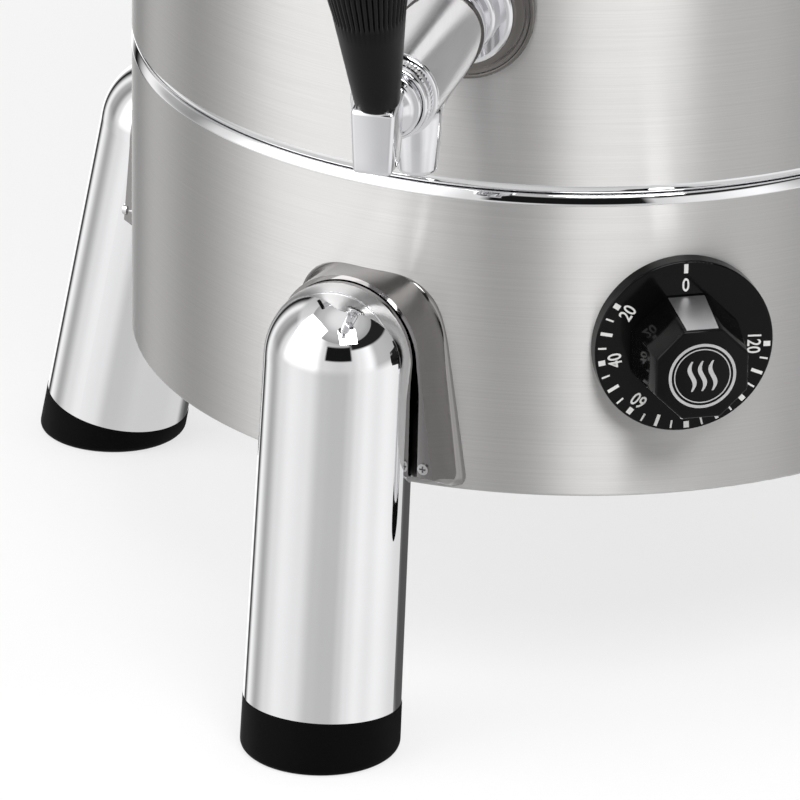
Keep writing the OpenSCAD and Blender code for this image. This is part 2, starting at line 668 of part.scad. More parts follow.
module tap_bonnet() color("silver") on_tap() difference() {
    union() {
        translate([0, 0, barrel_out + seat]) linear_extrude(bonnet_h - 2 - seat) difference() {
            circle(barrel_d / 2 + 0.1);
            for (i = [0 : bonnet_notches - 1]) rotate(i * 360 / bonnet_notches)
                translate([barrel_d / 2 + 0.1, 0]) square([1.2, 1.1], center = true);
        }
        rotate_extrude() turned_section(barrel_d / 2 - 1, barrel_out + 2, bonnet_front, top = 1);
    }
    translate([0, 0, barrel_out - cut]) cylinder(r = stem_r + run_clear, h = 20);
    translate([0, 0, bonnet_front - 1.2]) cylinder(r1 = 6, r2 = barrel_d / 2 - 2.6, h = 1.3);
}

// Turning plug with its cross passage closed: the side port points sideways until the lever is turned
module tap_plug() color("gainsboro") on_tap() difference() {
    union() {
        translate([0, 0, plug_back + 0.3]) cylinder(r = plug_r, h = plug_front - plug_back - 0.3);
        translate([0, 0, plug_front - cut]) cylinder(r = stem_r, h = hub_back + 3 - plug_front + cut);
        translate([0, 0, hub_back]) cylinder(r = tang_r, h = block_back + 0.6 - hub_back);
    }
    translate([0, 0, plug_back - cut]) cylinder(r = 4.2, h = spout_out - plug_back + cut);
    translate([0, 0, spout_out]) rotate([0, 90, 0]) cylinder(d = spout_bore_d - 0.6, h = 20);
}

module lever_block() color("silver") on_tap() difference() {
    union() {
        rotate_extrude() polygon([[0, hub_back], [barrel_d / 2 - 3, hub_back], [barrel_d / 2 - 2.4, hub_back + 1],
            [block_w / 2 - 0.2, block_back + 1], [0, block_back + 1]]);
        intersection() {
            translate([0, 0, block_back]) linear_extrude(block_depth) polygon([
                [-block_w / 2 - 0.2, block_rise + 6], [-block_low_w / 2, 1.4 - block_drop],
                [1.4 - block_low_w / 2, -block_drop], [block_low_w / 2 - 1.4, -block_drop],
                [block_low_w / 2, 1.4 - block_drop], [block_w / 2 + 0.2, block_rise + 6]]);
            rotate([0, 90, 0]) linear_extrude(block_w + 2, center = true)
                polygon([[-block_back, -block_drop + 1.4], [-block_back - 1.4, -block_drop],
                [-block_front + 1.4, -block_drop], [-block_front, -block_drop + 1.4], [-block_front, block_rise - 1.2],
                [-block_front + 1.2, block_rise],
                [-block_back, block_rise + (block_depth - 1.2) * tan(lever_lean)]]);
        }
    }
    cylinder(r = stem_r + seat, h = hub_back + 3 + seat);
    cylinder(r = tang_r + seat, h = block_back + 0.6 + seat);
    on_grip_local() translate([0, 0, -6 - seat]) cylinder(r = 3 + seat, h = 26);
}

// The grip's own place, seen from inside the tap's frame
module on_grip_local() translate([0, grip_foot[1], grip_foot[0]]) rotate([lever_lean - 90, 0, 0]) children();

module lever_grip() color("black") on_grip() rotate_extrude() {
    widest = grip_len * 0.72;
    polygon([[0, 0.5], [grip_low_d / 2 - 0.6, 0.5], [grip_low_d / 2, 1.1], [grip_mid_d / 2, grip_cone_h],
        for (t = [0.2 : 0.2 : 1]) [grip_mid_d / 2 + (grip_wide_d - grip_mid_d) / 2 * sin(90 * t),
        grip_cone_h + (widest - grip_cone_h) * t], [grip_wide_d / 2 - 1, grip_len - 9],
        for (a = [10 : 20 : 90]) [(grip_wide_d / 2 - 1) * cos(a), grip_len - 9 + 9 * sin(a)]]);
    translate([0, -6]) square([3, 7]);
}

// Lid

module lid_dome(r) intersection() {
    translate([0, lid_top - lid_ball_r]) circle(r, $fn = 256);
    translate([0, lid_base]) square([lid_r - 6, lid_rise + 10]);
}

module lid_shell() color("silver") difference() {
    rotate_extrude($fn = 128) {
        difference() {
            lid_dome(lid_ball_r);
            lid_dome(lid_ball_r - 1);
        }
        difference() {
            turned_section(lid_r, lid_base, lid_base + 1.6, top = 0.8);
            square([lid_r - 8, top_z + 10]);
        }
        translate([tank_r - lid_clear - 1.2, lid_base - 12]) square([1, 13]);
    }
    translate([0, 0, lid_top - 20]) cylinder(r = 2.5 + bolt_clear, h = 40);
    translate([0, -60, lid_top - 40]) cylinder(r = 3, h = 80);
}

module lid_knob() color("black") difference() {
    rotate_extrude() {
        turned_section(11, lid_top + seat, lid_top + 3, top = 1);
        turned_section(6.5, lid_top + 2, lid_top + knob_h - 14);
        turned_section(knob_d / 2, lid_top + knob_h - 16, lid_top + knob_h, top = 6, low = 4);
    }
    translate([0, 0, lid_top - cut]) cylinder(r = 2.5 + seat, h = 17);
}

module lid_screw() color("silver") difference() {
    union() {
        translate([0, 0, lid_top - 1.2 - 2.6]) cylinder(r = 4.6, h = 2.6);
        translate([0, 0, lid_top - 2]) cylinder(r = 2.5, h = 14);
    }
    translate([0, 0, lid_top - 3.8]) cross_recess(5, 1.2);
}

// Side handles

module handle_post_places() for (a = [-90, 90], s = [-1, 1])
    outward(a, drum_r, handle_z) translate([s * post_t, 0, 0]) children();

module handle_posts() color("silver") handle_post_places() {
    translate([0, 0, -post_back + 0.3]) cylinder(d = post_d, h = handle_out + post_back - 2.3);
    translate([0, 0, -post_back - 13]) cylinder(r = 3, h = 14);
}

module handle_nuts() color("dimgray") handle_post_places()
    translate([0, 0, -post_back - 11.5]) hex_nut(10, 3 + seat, 5);

module handle_grip(az) color("black") outward(az, drum_r, handle_z) difference() {
    translate([-handle_pitch / 2 - 12, 0, handle_out]) rotate([0, 90, 0]) rotate_extrude() {
        turned_section(handle_grip_d / 2, 0, handle_pitch + 24, top = 4, low = 4);
    }
    for (s = [-1, 1]) translate([s * post_t, 0, 0]) cylinder(r = post_d / 2 + seat, h = handle_out - 2 + seat);
}

base_drum();
bottom_cover();
cover_screws();
tank_jacket();
seam_bolts();
inner_tank();
insulation();
mouth_ring();
leg(leg_az[0]);  // leg_front_left
leg(leg_az[1]);  // leg_front_right
leg(leg_az[2]);  // leg_rear_right
leg(leg_az[3]);  // leg_rear_left
foot(leg_az[0]);  // foot_front_left
foot(leg_az[1]);  // foot_front_right
foot(leg_az[2]);  // foot_rear_right
foot(leg_az[3]);  // foot_rear_left
saddle(leg_az[0]);  // saddle_front_left
saddle(leg_az[1]);  // saddle_front_right
saddle(leg_az[2]);  // saddle_rear_right
saddle(leg_az[3]);  // saddle_rear_left
leg_inserts();
leg_bolts();
saddle_screws();
dial_disc();
dial_grip();
thermostat_spindle();
thermostat_body();
thermostat_nut();
thermostat_bulb();
heater_plate();
heating_element();
heater_clamp();
heater_nut();
thermal_cutout();
terminal_block();
cable_gland();
gland_nut();
tap_plate();
tap_flange_nut();
tap_body();
tap_spacer();
tap_gasket();
tap_back_nut();
tap_bonnet();
tap_plug();
lever_block();
lever_grip();
lid_shell();
lid_knob();
lid_screw();
handle_posts();
handle_grip(-90);  // handle_grip_left
handle_grip(90);  // handle_grip_right
handle_nuts();
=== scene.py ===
# %% [markdown]
# # A coffee urn, finished in Blender
# The solids of this urn come from a CAD source and are loaded as a fixed frame. Blender adds what the
# eye needs: the brushed and the polished steel, the printed dial, the fluted grip, and a white studio
# that the metal can mirror. Everything is in metres, with the floor at z = 0 and the drum's axis on
# Z.

# %% Load the frame
import json
import math
from collections import namedtuple

import bmesh
import bpy
from mathutils import Matrix, Vector


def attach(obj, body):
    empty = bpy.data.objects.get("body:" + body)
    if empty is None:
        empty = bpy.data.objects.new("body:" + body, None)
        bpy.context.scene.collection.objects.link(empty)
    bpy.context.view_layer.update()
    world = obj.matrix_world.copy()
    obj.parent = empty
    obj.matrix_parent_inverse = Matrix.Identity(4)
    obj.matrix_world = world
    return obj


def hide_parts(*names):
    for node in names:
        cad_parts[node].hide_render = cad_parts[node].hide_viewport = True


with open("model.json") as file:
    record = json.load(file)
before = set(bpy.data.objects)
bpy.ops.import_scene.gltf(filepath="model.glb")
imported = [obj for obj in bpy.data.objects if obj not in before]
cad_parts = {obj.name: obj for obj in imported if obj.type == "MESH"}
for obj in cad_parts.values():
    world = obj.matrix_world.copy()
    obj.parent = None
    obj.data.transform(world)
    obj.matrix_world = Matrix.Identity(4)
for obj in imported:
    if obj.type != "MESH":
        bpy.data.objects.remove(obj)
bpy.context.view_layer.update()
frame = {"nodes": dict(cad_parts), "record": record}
nodes = frame["nodes"]
MM = 0.001

# %% [markdown]
# ## Sizes that the looks share with the solids
# A new piece has to sit exactly on the solid that carries it. So the few sizes that both need are
# named here once, in millimetres, with the same words as in the CAD source.

# %% Shared sizes
DRUM_R = 125.0
RIM_Z = 71.0
SEAM_Z = 159.8
BEAD_R = 2.8
DIAL_Z = 117.2
DIAL_FRONT = 5.6
TAP_AZ = -28.0
TAP_Z = 213.0
LEG_TOP_R = 20.8
Leg = namedtuple("Leg", "name azimuth splay out dome_z low_r foot_h taper")


def make_leg(name, azimuth, splay, out, dome_z, low_r, foot_h):
    length = dome_z / math.cos(math.radians(splay))
    taper = (low_r - LEG_TOP_R) / (length - foot_h)
    return Leg(name, azimuth, splay, out, dome_z, low_r, foot_h, taper)


# The rear legs lean more, stand further out and are a little lower than the front ones
FRONT_LEG = (5.0, 151.5, 112.6, 21.9, 14.0)
REAR_LEG = (11.7, 157.4, 101.2, 21.1, 10.6)
LEGS = [make_leg("front_left", -40, *FRONT_LEG), make_leg("front_right", 40, *FRONT_LEG),
        make_leg("rear_right", 135, *REAR_LEG), make_leg("rear_left", -135, *REAR_LEG)]


def out_and_side(azimuth):
    a = math.radians(azimuth)
    return Vector((math.sin(a), -math.cos(a), 0)), Vector((math.cos(a), math.sin(a), 0))


def outward(azimuth, radius, height):
    """Place on the drum: local +Z points out of the wall, +Y points up, in millimetres."""
    out, side = out_and_side(azimuth)
    place = (out * radius + Vector((0, 0, height))) * MM
    turn = Matrix((side, Vector((0, 0, 1)), out)).transposed()
    return Matrix.Translation(place) @ turn.to_4x4() @ Matrix.Scale(MM, 4)


def on_leg(leg):
    """Place on a leg: local +Z runs up the leg's axis from the floor, in millimetres."""
    out, side = out_and_side(leg.azimuth)
    s = math.radians(leg.splay)
    up = Vector((0, 0, 1)) * math.cos(s) - out * math.sin(s)
    turn = Matrix((side, up.cross(side), up)).transposed()
    return Matrix.Translation(out * leg.out * MM) @ turn.to_4x4() @ Matrix.Scale(MM, 4)


print("dial axis at", tuple(round(x, 4) for x in outward(0, DRUM_R, DIAL_Z).translation))

# %% [markdown]
# ## The camera
# The picture is a close view of the lower front, taken from above with a long lens. A long lens keeps
# upright lines nearly parallel, so the camera stands far off and its lens is narrow. The point where
# the drum's axis crosses the level of its lower edge fixes where the camera looks.

# %% Camera
FRAME_PX = 800
FOCAL_PX = 9610.4
CAMERA_DISTANCE = 2.75
CAMERA_PITCH = math.radians(23.321)
CAMERA_ROLL = math.radians(0.679)
CAMERA_TURN = math.radians(-12.9)
AXIS_AT_PX = (568.8, 319.8)


def in_scene(name, data):
    """Makes an object of some data and puts it into the scene."""
    thing = bpy.data.objects.new(name, data)
    bpy.context.scene.collection.objects.link(thing)
    return thing


def make_camera():
    look = Vector((0, math.cos(CAMERA_PITCH), -math.sin(CAMERA_PITCH)))
    level = Vector((1, 0, 0))
    rise = level.cross(look)
    right = level * math.cos(CAMERA_ROLL) + rise * math.sin(CAMERA_ROLL)
    up = rise * math.cos(CAMERA_ROLL) - level * math.sin(CAMERA_ROLL)
    across = (AXIS_AT_PX[0] - FRAME_PX / 2) / FOCAL_PX
    down = (AXIS_AT_PX[1] - FRAME_PX / 2) / FOCAL_PX
    target = Vector((0, 0, RIM_Z * MM))
    place = target - CAMERA_DISTANCE * (right * across - up * down + look)
    turn = Matrix((right, up, -look)).transposed().to_4x4()
    data = bpy.data.cameras.new("camera")
    data.sensor_width = 36
    data.lens = data.sensor_width * FOCAL_PX / FRAME_PX
    data.clip_end = 100
    camera = in_scene("camera", data)
    camera.matrix_world = Matrix.Rotation(CAMERA_TURN, 4, "Z") @ Matrix.Translation(place) @ turn
    bpy.context.scene.camera = camera
    return camera


camera = make_camera()
camera_place = tuple(round(x, 3) for x in camera.matrix_world.translation)
print("camera at", camera_place, "lens", round(camera.data.lens, 1))

# %% [markdown]
# ## Small helpers for node trees
# Shader trees are easier to read when adding a node and wiring it is one line. These helpers make a
# node, set its plain values and link its inputs. A ramp is made from pairs of position and grey
# value. Range, blend and mask are the three small sums that every tree below needs.

# %% Node helpers


def add(tree, kind, inputs=None, **settings):
    """Adds a node, sets its properties, and fills its inputs with values or links."""
    node = tree.nodes.new(kind)
    for key, value in settings.items():
        setattr(node, key, value)
    for key, value in (inputs or {}).items():
        if isinstance(value, bpy.types.NodeSocket):
            tree.links.new(value, node.inputs[key])
        else:
            node.inputs[key].default_value = value
    return node


def made(tree, kind, inputs=None, **settings):
    """Adds a node and gives its first output."""
    return add(tree, kind, inputs, **settings).outputs[0]


def math_node(tree, operation, a, b=0.0):
    return made(tree, "ShaderNodeMath", {0: a, 1: b}, operation=operation)


def grey(value):
    return (value, value, value, 1)


def grey_ramp(tree, factor, stops):
    node = add(tree, "ShaderNodeValToRGB", {"Fac": factor})
    ramp = node.color_ramp
    ramp.interpolation = "EASE"
    while len(ramp.elements) < len(stops):
        ramp.elements.new(0.5)
    for element, (position, value) in zip(ramp.elements, stops):
        element.position = position
        element.color = grey(value)
    return node.outputs["Color"]


def map_range(tree, value, low, high, first=0.0, last=1.0):
    """Carries a value from one range to another and holds it at both ends."""
    return made(tree, "ShaderNodeMapRange", {0: value, 1: low, 2: high, 3: first, 4: last})


def blend(tree, share, first, second, kind="MIX"):
    """Mixes two colours, or puts the second on the first in another way."""
    inputs = {0: share, 6: first, 7: second}
    return add(tree, "ShaderNodeMix", inputs, data_type="RGBA", blend_type=kind).outputs[2]


def mix_shader(tree, share, first, second):
    return made(tree, "ShaderNodeMixShader", {0: share, 1: first, 2: second})


def span_mask(tree, value, low, high, soft):
    """1 between two values, 0 outside, with soft ends."""
    up = map_range(tree, value, low - soft, low + soft)
    down = map_range(tree, value, high - soft, high + soft, 1.0, 0.0)
    return math_node(tree, "MULTIPLY", up, down)


def new_material(name):
    material = bpy.data.materials.new(name)
    material.use_nodes = True
    material.node_tree.nodes.clear()
    return material, material.node_tree


def finish_material(tree, inputs):
    """Ends the tree of a material with one principled surface."""
    shader = made(tree, "ShaderNodeBsdfPrincipled", inputs)
    add(tree, "ShaderNodeOutputMaterial", {"Surface": shader})


print("helpers ready")

# %% [markdown]
# ## The studio
# Polished metal has no look of its own: it shows the room. In this studio a white wall and a large
# soft box stand on the left, a grey box hangs overhead, and the right is dark above the level of the
# camera. The camera itself is a dark gap. The world paints all this by direction, so every other view
# is lit as well. The camera sees plain white.

# %% World
# Pairs of an angle round from the camera, in degrees, and a brightness
FLOOR_STOPS = [
    (-180, 1.0), (-164, 1.5), (-150, 0.0), (-136, 1.1), (-114, 0.5), (-92, 0.9), (-72, 1.06),
    (-45, 0.96), (-22, 0.66), (-6, 0.62), (8, 0.62), (18, 0.74), (30, 0.94), (44, 1.08), (60, 1.0),
    (78, 1.1), (120, 0.85), (136, 0.1), (166, 0.1), (180, 1.0)]
WALL_STOPS = [
    (-180, 0.9), (-164, 1.5), (-150, 0.0), (-136, 1.1), (-124, 0.5), (-112, 0.35), (-100, 0.9),
    (-88, 1.5), (-40, 1.5), (-26, 0.85), (0, 0.75), (19, 0.8), (32, 1.0), (48, 1.25), (62, 0.6),
    (110, 0.5), (150, 0.6), (180, 0.9)]
CEILING_STOPS = [
    (-180, 0.5), (-150, 0.6), (-112, 0.8), (-94, 1.4), (-42, 1.4), (-22, 0.6), (14, 0.5), (24, 0.1),
    (35, 0.03), (120, 0.03), (150, 0.3), (180, 0.5)]
# Heights are the upward part of a direction, from -1 below to 1 above
WALL_FOOT = (-0.14, 0.02)
WALL_TOP = (0.54, 0.64)
DEEP_FLOOR = (-0.64, -0.5)
DEEP_FLOOR_GREY = 0.75
# A dark patch: two angles, two heights, how soft its sides are, and its grey
CAMERA_GAP = ((-23, 19), (0.24, 0.58), 0.004, 0.01)
DARK_SIDE = ((19, 118), (0.5, 0.92), 0.01, 0.02)
PATCH_SOFT = 0.02
# The box overhead: where it hangs, the edge of its face, and its glow from the edge to the middle
BOX_WAY = (0.03, -0.17, 0.985)
BOX_EDGE = (0.765, 0.775)
BOX_GLOW = [(0.0, 0.3), (0.76, 0.4), (0.9, 0.6), (1.0, 0.95)]
EVEN_LIGHT = 0.55


def direction_parts(tree):
    """The angle round from the camera as 0 to 1, the height, and the direction itself."""
    coords = add(tree, "ShaderNodeTexCoord").outputs["Generated"]
    way = made(tree, "ShaderNodeMapping", {"Vector": coords, "Rotation": (0, 0, -CAMERA_TURN)})
    parts = add(tree, "ShaderNodeSeparateXYZ", {0: way}).outputs
    back = math_node(tree, "MULTIPLY", parts["Y"], -1.0)
    angle = math_node(tree, "ARCTAN2", parts["X"], back)
    share = math_node(tree, "MULTIPLY_ADD", angle, 1 / (2 * math.pi))
    share.node.inputs[2].default_value = 0.5
    return share, parts["Z"], way


def ring_ramp(tree, around, stops):
    return grey_ramp(tree, around, [((angle + 180) / 360, value) for angle, value in stops])


def dark_patch(tree, room, around, height, patch):
    angles, heights, soft, value = patch
    sides = span_mask(tree, around, *((angle + 180) / 360 for angle in angles), soft)
    mask = math_node(tree, "MULTIPLY", sides, span_mask(tree, height, *heights, PATCH_SOFT))
    return blend(tree, mask, room, grey(value))


def studio_colour(tree):
    """What a shiny ray sees in each direction."""
    around, height, way = direction_parts(tree)
    rows = (FLOOR_STOPS, WALL_STOPS, CEILING_STOPS)
    floor, walls, ceiling = (ring_ramp(tree, around, stops) for stops in rows)
    room = blend(tree, map_range(tree, height, *WALL_FOOT), floor, walls)
    room = blend(tree, map_range(tree, height, *WALL_TOP), room, ceiling)
    room = blend(tree, map_range(tree, height, *DEEP_FLOOR, 1.0, 0.0), room, grey(DEEP_FLOOR_GREY))
    for patch in (CAMERA_GAP, DARK_SIDE):
        room = dark_patch(tree, room, around, height, patch)
    dot = add(tree, "ShaderNodeVectorMath", {0: way, 1: BOX_WAY}, operation="DOT_PRODUCT")
    facing = dot.outputs["Value"]
    return blend(tree, map_range(tree, facing, *BOX_EDGE), room, grey_ramp(tree, facing, BOX_GLOW))


def make_world():
    world = bpy.data.worlds.new("studio")
    bpy.context.scene.world = world
    world.use_nodes = True
    tree = world.node_tree
    tree.nodes.clear()
    room = studio_colour(tree)
    path = add(tree, "ShaderNodeLightPath").outputs
    white = made(tree, "ShaderNodeBackground", {"Color": grey(1)})
    seen = made(tree, "ShaderNodeBackground", {"Color": room})
    even = made(tree, "ShaderNodeBackground", {"Color": grey(1), "Strength": EVEN_LIGHT})
    shiny = mix_shader(tree, path["Is Glossy Ray"], even, seen)
    mixed = mix_shader(tree, path["Is Camera Ray"], shiny, white)
    add(tree, "ShaderNodeOutputWorld", {"Surface": mixed})


make_world()
bpy.context.scene.view_settings.view_transform = "Standard"
print("world made")

# %% [markdown]
# The floor is a white sheet. The camera sees it nearly as bright as the background, so only soft
# shadows show. Shiny rays pass through it to the lower half of the world, which stands for the floor
# in every mirror. Two soft boxes stand high on the left and near the camera. Brushed steel draws each
# of them out into an upright streak.

# %% Floor and lamps
FLOOR_RADIUS = 30
FLOOR_GREY = 0.85
FLOOR_GLOW = 0.72
LAMPS_LOOK_AT = Vector((0, 0, 0.15))


def make_floor():
    bm = bmesh.new()
    bmesh.ops.create_circle(bm, cap_ends=True, radius=FLOOR_RADIUS, segments=96)
    mesh = bpy.data.meshes.new("floor")
    bm.to_mesh(mesh)
    bm.free()
    floor = in_scene("floor", mesh)
    material, tree = new_material("floor_sheet")
    path = add(tree, "ShaderNodeLightPath").outputs
    matt = made(tree, "ShaderNodeBsdfDiffuse", {"Color": grey(FLOOR_GREY)})
    white = made(tree, "ShaderNodeEmission", {"Color": grey(1)})
    pale = mix_shader(tree, FLOOR_GLOW, matt, white)
    lit = mix_shader(tree, path["Is Camera Ray"], matt, pale)
    clear = made(tree, "ShaderNodeBsdfTransparent")
    shader = mix_shader(tree, path["Is Glossy Ray"], lit, clear)
    add(tree, "ShaderNodeOutputMaterial", {"Surface": shader})
    mesh.materials.append(material)


def make_lamp(name, azimuth, elevation, distance, size, power):
    """A soft box that looks at the urn. Azimuth is counted from the camera, in degrees."""
    a = math.radians(azimuth) + CAMERA_TURN
    e = math.radians(elevation)
    away = Vector((math.sin(a) * math.cos(e), -math.cos(a) * math.cos(e), math.sin(e)))
    data = bpy.data.lights.new(name, "AREA")
    data.shape = "RECTANGLE"
    data.size, data.size_y = size
    data.energy = power
    lamp = in_scene(name, data)
    place = LAMPS_LOOK_AT + away * distance
    lamp.matrix_world = Matrix.Translation(place) @ away.to_track_quat("Z", "Y").to_matrix().to_4x4()


make_floor()
make_lamp("box_left", -67, 40, 2.0, (1.5, 1.4), 17)
make_lamp("box_front", 14, 48, 2.0, (0.9, 0.8), 23)
print("floor and lamps made")

# %% [markdown]
# ## Shader groups
# Several metals share the same fine lines. A node group holds them once, with their spacing and how
# short they are as its inputs. The lines run round the urn's axis: noise is squeezed along the height
# and the radius, and left long in the two flat directions.

# %% Group: turned lines


def socket(group, name, in_out, kind="NodeSocketFloat", value=None):
    item = group.interface.new_socket(name, in_out=in_out, socket_type=kind)
    if value is not None:
        item.default_value = value


def make_turned_lines():
    group = bpy.data.node_groups.new("turned_lines", "ShaderNodeTree")
    socket(group, "Lines per metre", "INPUT", value=3200.0)
    socket(group, "Length", "INPUT", value=22.0)
    socket(group, "Mask", "OUTPUT")
    given = group.nodes.new("NodeGroupInput")
    out = group.nodes.new("NodeGroupOutput")
    coords = add(group, "ShaderNodeTexCoord").outputs["Object"]
    parts = add(group, "ShaderNodeSeparateXYZ", {0: coords}).outputs
    flat = made(group, "ShaderNodeCombineXYZ", {"X": parts["X"], "Y": parts["Y"]})
    radius = add(group, "ShaderNodeVectorMath", {0: flat}, operation="LENGTH").outputs["Value"]
    across = math_node(group, "ADD", parts["Z"], radius)
    across = math_node(group, "MULTIPLY", across, given.outputs["Lines per metre"])
    along_x = math_node(group, "MULTIPLY", parts["X"], given.outputs["Length"])
    along_y = math_node(group, "MULTIPLY", parts["Y"], given.outputs["Length"])
    line = made(group, "ShaderNodeCombineXYZ", {"X": along_x, "Y": along_y, "Z": across})
    fine = add(group, "ShaderNodeTexNoise", {
        "Vector": line, "Scale": 1.0, "Detail": 4.0, "Roughness": 0.65}).outputs["Fac"]
    group.links.new(fine, out.inputs["Mask"])
    return group


turned_lines = make_turned_lines()
print("group made:", turned_lines.name)

# %% [markdown]
# Handled metal and plastic also carries faint smears. The second group makes a soft blotchy mask for
# the roughness, and a fine grain for the height of moulded or rubber skin.

# %% Group: skin


def make_skin():
    group = bpy.data.node_groups.new("skin", "ShaderNodeTree")
    socket(group, "Smear scale", "INPUT", value=18.0)
    socket(group, "Grain scale", "INPUT", value=2500.0)
    socket(group, "Smear", "OUTPUT")
    socket(group, "Grain", "OUTPUT")
    given = group.nodes.new("NodeGroupInput")
    out = group.nodes.new("NodeGroupOutput")
    coords = add(group, "ShaderNodeTexCoord").outputs["Object"]
    smear = add(group, "ShaderNodeTexNoise", {
        "Vector": coords, "Scale": given.outputs["Smear scale"], "Detail": 5.0, "Roughness": 0.6,
        "Distortion": 0.6})
    grain = add(group, "ShaderNodeTexNoise", {
        "Vector": coords, "Scale": given.outputs["Grain scale"], "Detail": 2.0})
    group.links.new(smear.outputs["Fac"], out.inputs["Smear"])
    group.links.new(grain.outputs["Fac"], out.inputs["Grain"])
    return group


skin = make_skin()
print("group made:", skin.name)

# %% [markdown]
# ## Metals
# The drum and the jacket are brushed round their axis. Brushing spreads a reflection across the
# lines, so the anisotropy's direction is the one that crosses them: up the wall, and outwards on the
# lid. The rounded edges at the seam are polished, so the roughness falls there by height.

# %% Brushed steel
LINE_TONE = (0.925, 1.05)
BAND_SOFT = 0.15
BAND_ROUGH = 0.06
BRUSHED_GREY = (0.62, 0.613, 0.605)
BRUSHED_ROUGH = 0.44


def cross(tree, first, second):
    return made(tree, "ShaderNodeVectorMath", {0: first, 1: second}, operation="CROSS_PRODUCT")


def brushed_steel(name, colour, rough, mirror_band=None):
    material, tree = new_material(name)
    mask = add(tree, "ShaderNodeGroup", node_tree=turned_lines).outputs["Mask"]
    place = add(tree, "ShaderNodeTexCoord").outputs["Object"]
    normal = add(tree, "ShaderNodeNewGeometry").outputs["Normal"]
    over_lines = cross(tree, cross(tree, (0, 0, 1), place), normal)
    tone = map_range(tree, mask, 0.3, 0.7, *LINE_TONE)
    base = blend(tree, 1.0, (*colour, 1), tone, "MULTIPLY")
    roughness = map_range(tree, mask, 0.25, 0.75, rough - 0.05, rough + 0.05)
    if mirror_band:
        height = add(tree, "ShaderNodeSeparateXYZ", {0: place}).outputs["Z"]
        low, high = mirror_band
        edge = span_mask(tree, height, low * MM, high * MM, BAND_SOFT * MM)
        roughness = made(tree, "ShaderNodeMix", {0: edge, 2: roughness, 3: BAND_ROUGH})
    bump = made(tree, "ShaderNodeBump", {"Height": mask, "Strength": 0.03, "Distance": 0.0001})
    finish_material(tree, {
        "Base Color": base, "Metallic": 1.0, "Roughness": roughness, "Anisotropic": 1.0,
        "Tangent": over_lines, "Normal": bump})
    return material


drum_band = (SEAM_Z - BEAD_R, SEAM_Z + 1)
jacket_band = (SEAM_Z - 1, SEAM_Z + BEAD_R)
drum_steel = brushed_steel("drum_brushed_steel", BRUSHED_GREY, BRUSHED_ROUGH, drum_band)
jacket_steel = brushed_steel("jacket_brushed_steel", BRUSHED_GREY, BRUSHED_ROUGH, jacket_band)
lid_steel = brushed_steel("lid_brushed_steel", (0.66, 0.65, 0.64), 0.40)
inner_steel = brushed_steel("inner_steel", (0.6, 0.6, 0.59), 0.36)
print("brushed metals made")

# %% [markdown]
# Polished steel and chrome are nearly mirrors. A little roughness from the smear mask keeps them from
# looking like glass, and chrome is a touch cooler and darker than polished steel. The saddles and the
# plate behind the tap use the same shader with a much darker grey. That grey is painted shade: it stands
# for the dark reflections on them. The bright silver on the dial's grip is a painted highlight.

# %% Polished metals


def polished(name, colour, rough_low, rough_high):
    material, tree = new_material(name)
    marks = add(tree, "ShaderNodeGroup", {"Smear scale": 22.0, "Grain scale": 900.0}, node_tree=skin)
    smear = marks.outputs["Smear"]
    roughness = map_range(tree, smear, 0.35, 0.75, rough_low, rough_high)
    tone = map_range(tree, smear, 0.3, 0.8, 1.0, 0.97)
    base = blend(tree, 1.0, (*colour, 1), tone, "MULTIPLY")
    finish_material(tree, {"Base Color": base, "Metallic": 1.0, "Roughness": roughness})
    return material


leg_steel = polished("polished_steel", (0.80, 0.80, 0.81), 0.02, 0.06)
tap_chrome = polished("tap_chrome", (0.76, 0.76, 0.78), 0.02, 0.05)
# Painted shade: the tap's plate and the saddles get a much darker grey than polished steel, standing for
# the dark reflections they show
plate_steel_painted_shade = polished("plate_steel_painted_shade", (0.17, 0.16, 0.152), 0.10, 0.16)
saddle_steel_painted_shade = polished("saddle_steel_painted_shade", (0.29, 0.28, 0.275), 0.07, 0.13)
# Painted highlight: bright silver for the plate on the dial grip's upper face, standing for the overhead
# box's reflection there
highlight_plate_silver = polished("highlight_plate_silver", (0.84, 0.84, 0.86), 0.28, 0.36)
screw_steel = polished("screw_steel", (0.66, 0.66, 0.66), 0.14, 0.26)
brass = polished("turned_brass", (0.72, 0.55, 0.26), 0.18, 0.3)
aluminium = polished("cast_aluminium", (0.72, 0.72, 0.73), 0.34, 0.5)
print("polished metals made")

# %% [markdown]
# ## Black parts, print and pale parts
# The dial is glossy, the grips are satin and the feet are matt rubber. They share a near-black
# colour, and differ in roughness, in the size of the grain and in how much they shine. The print and
# the pale parts inside use the same shader with lighter colours.

# %% Plastics and rubber


def plastic(name, colour, rough, grain_scale, grain, smear, shine=0.2):
    material, tree = new_material(name)
    inputs = {"Smear scale": 30.0, "Grain scale": grain_scale}
    marks = add(tree, "ShaderNodeGroup", inputs, node_tree=skin).outputs
    roughness = map_range(tree, marks["Smear"], 0.3, 0.8, rough, rough + smear)
    light = tuple(min(1.0, c * 2.2) for c in colour)
    base = blend(tree, marks["Smear"], (*colour, 1), (*light, 1))
    bump = made(tree, "ShaderNodeBump", {"Height": marks["Grain"], "Strength": grain, "Distance": 0.0002})
    finish_material(tree, {
        "Base Color": base, "Roughness": roughness, "Specular IOR Level": shine,
        "Normal": bump})
    return material


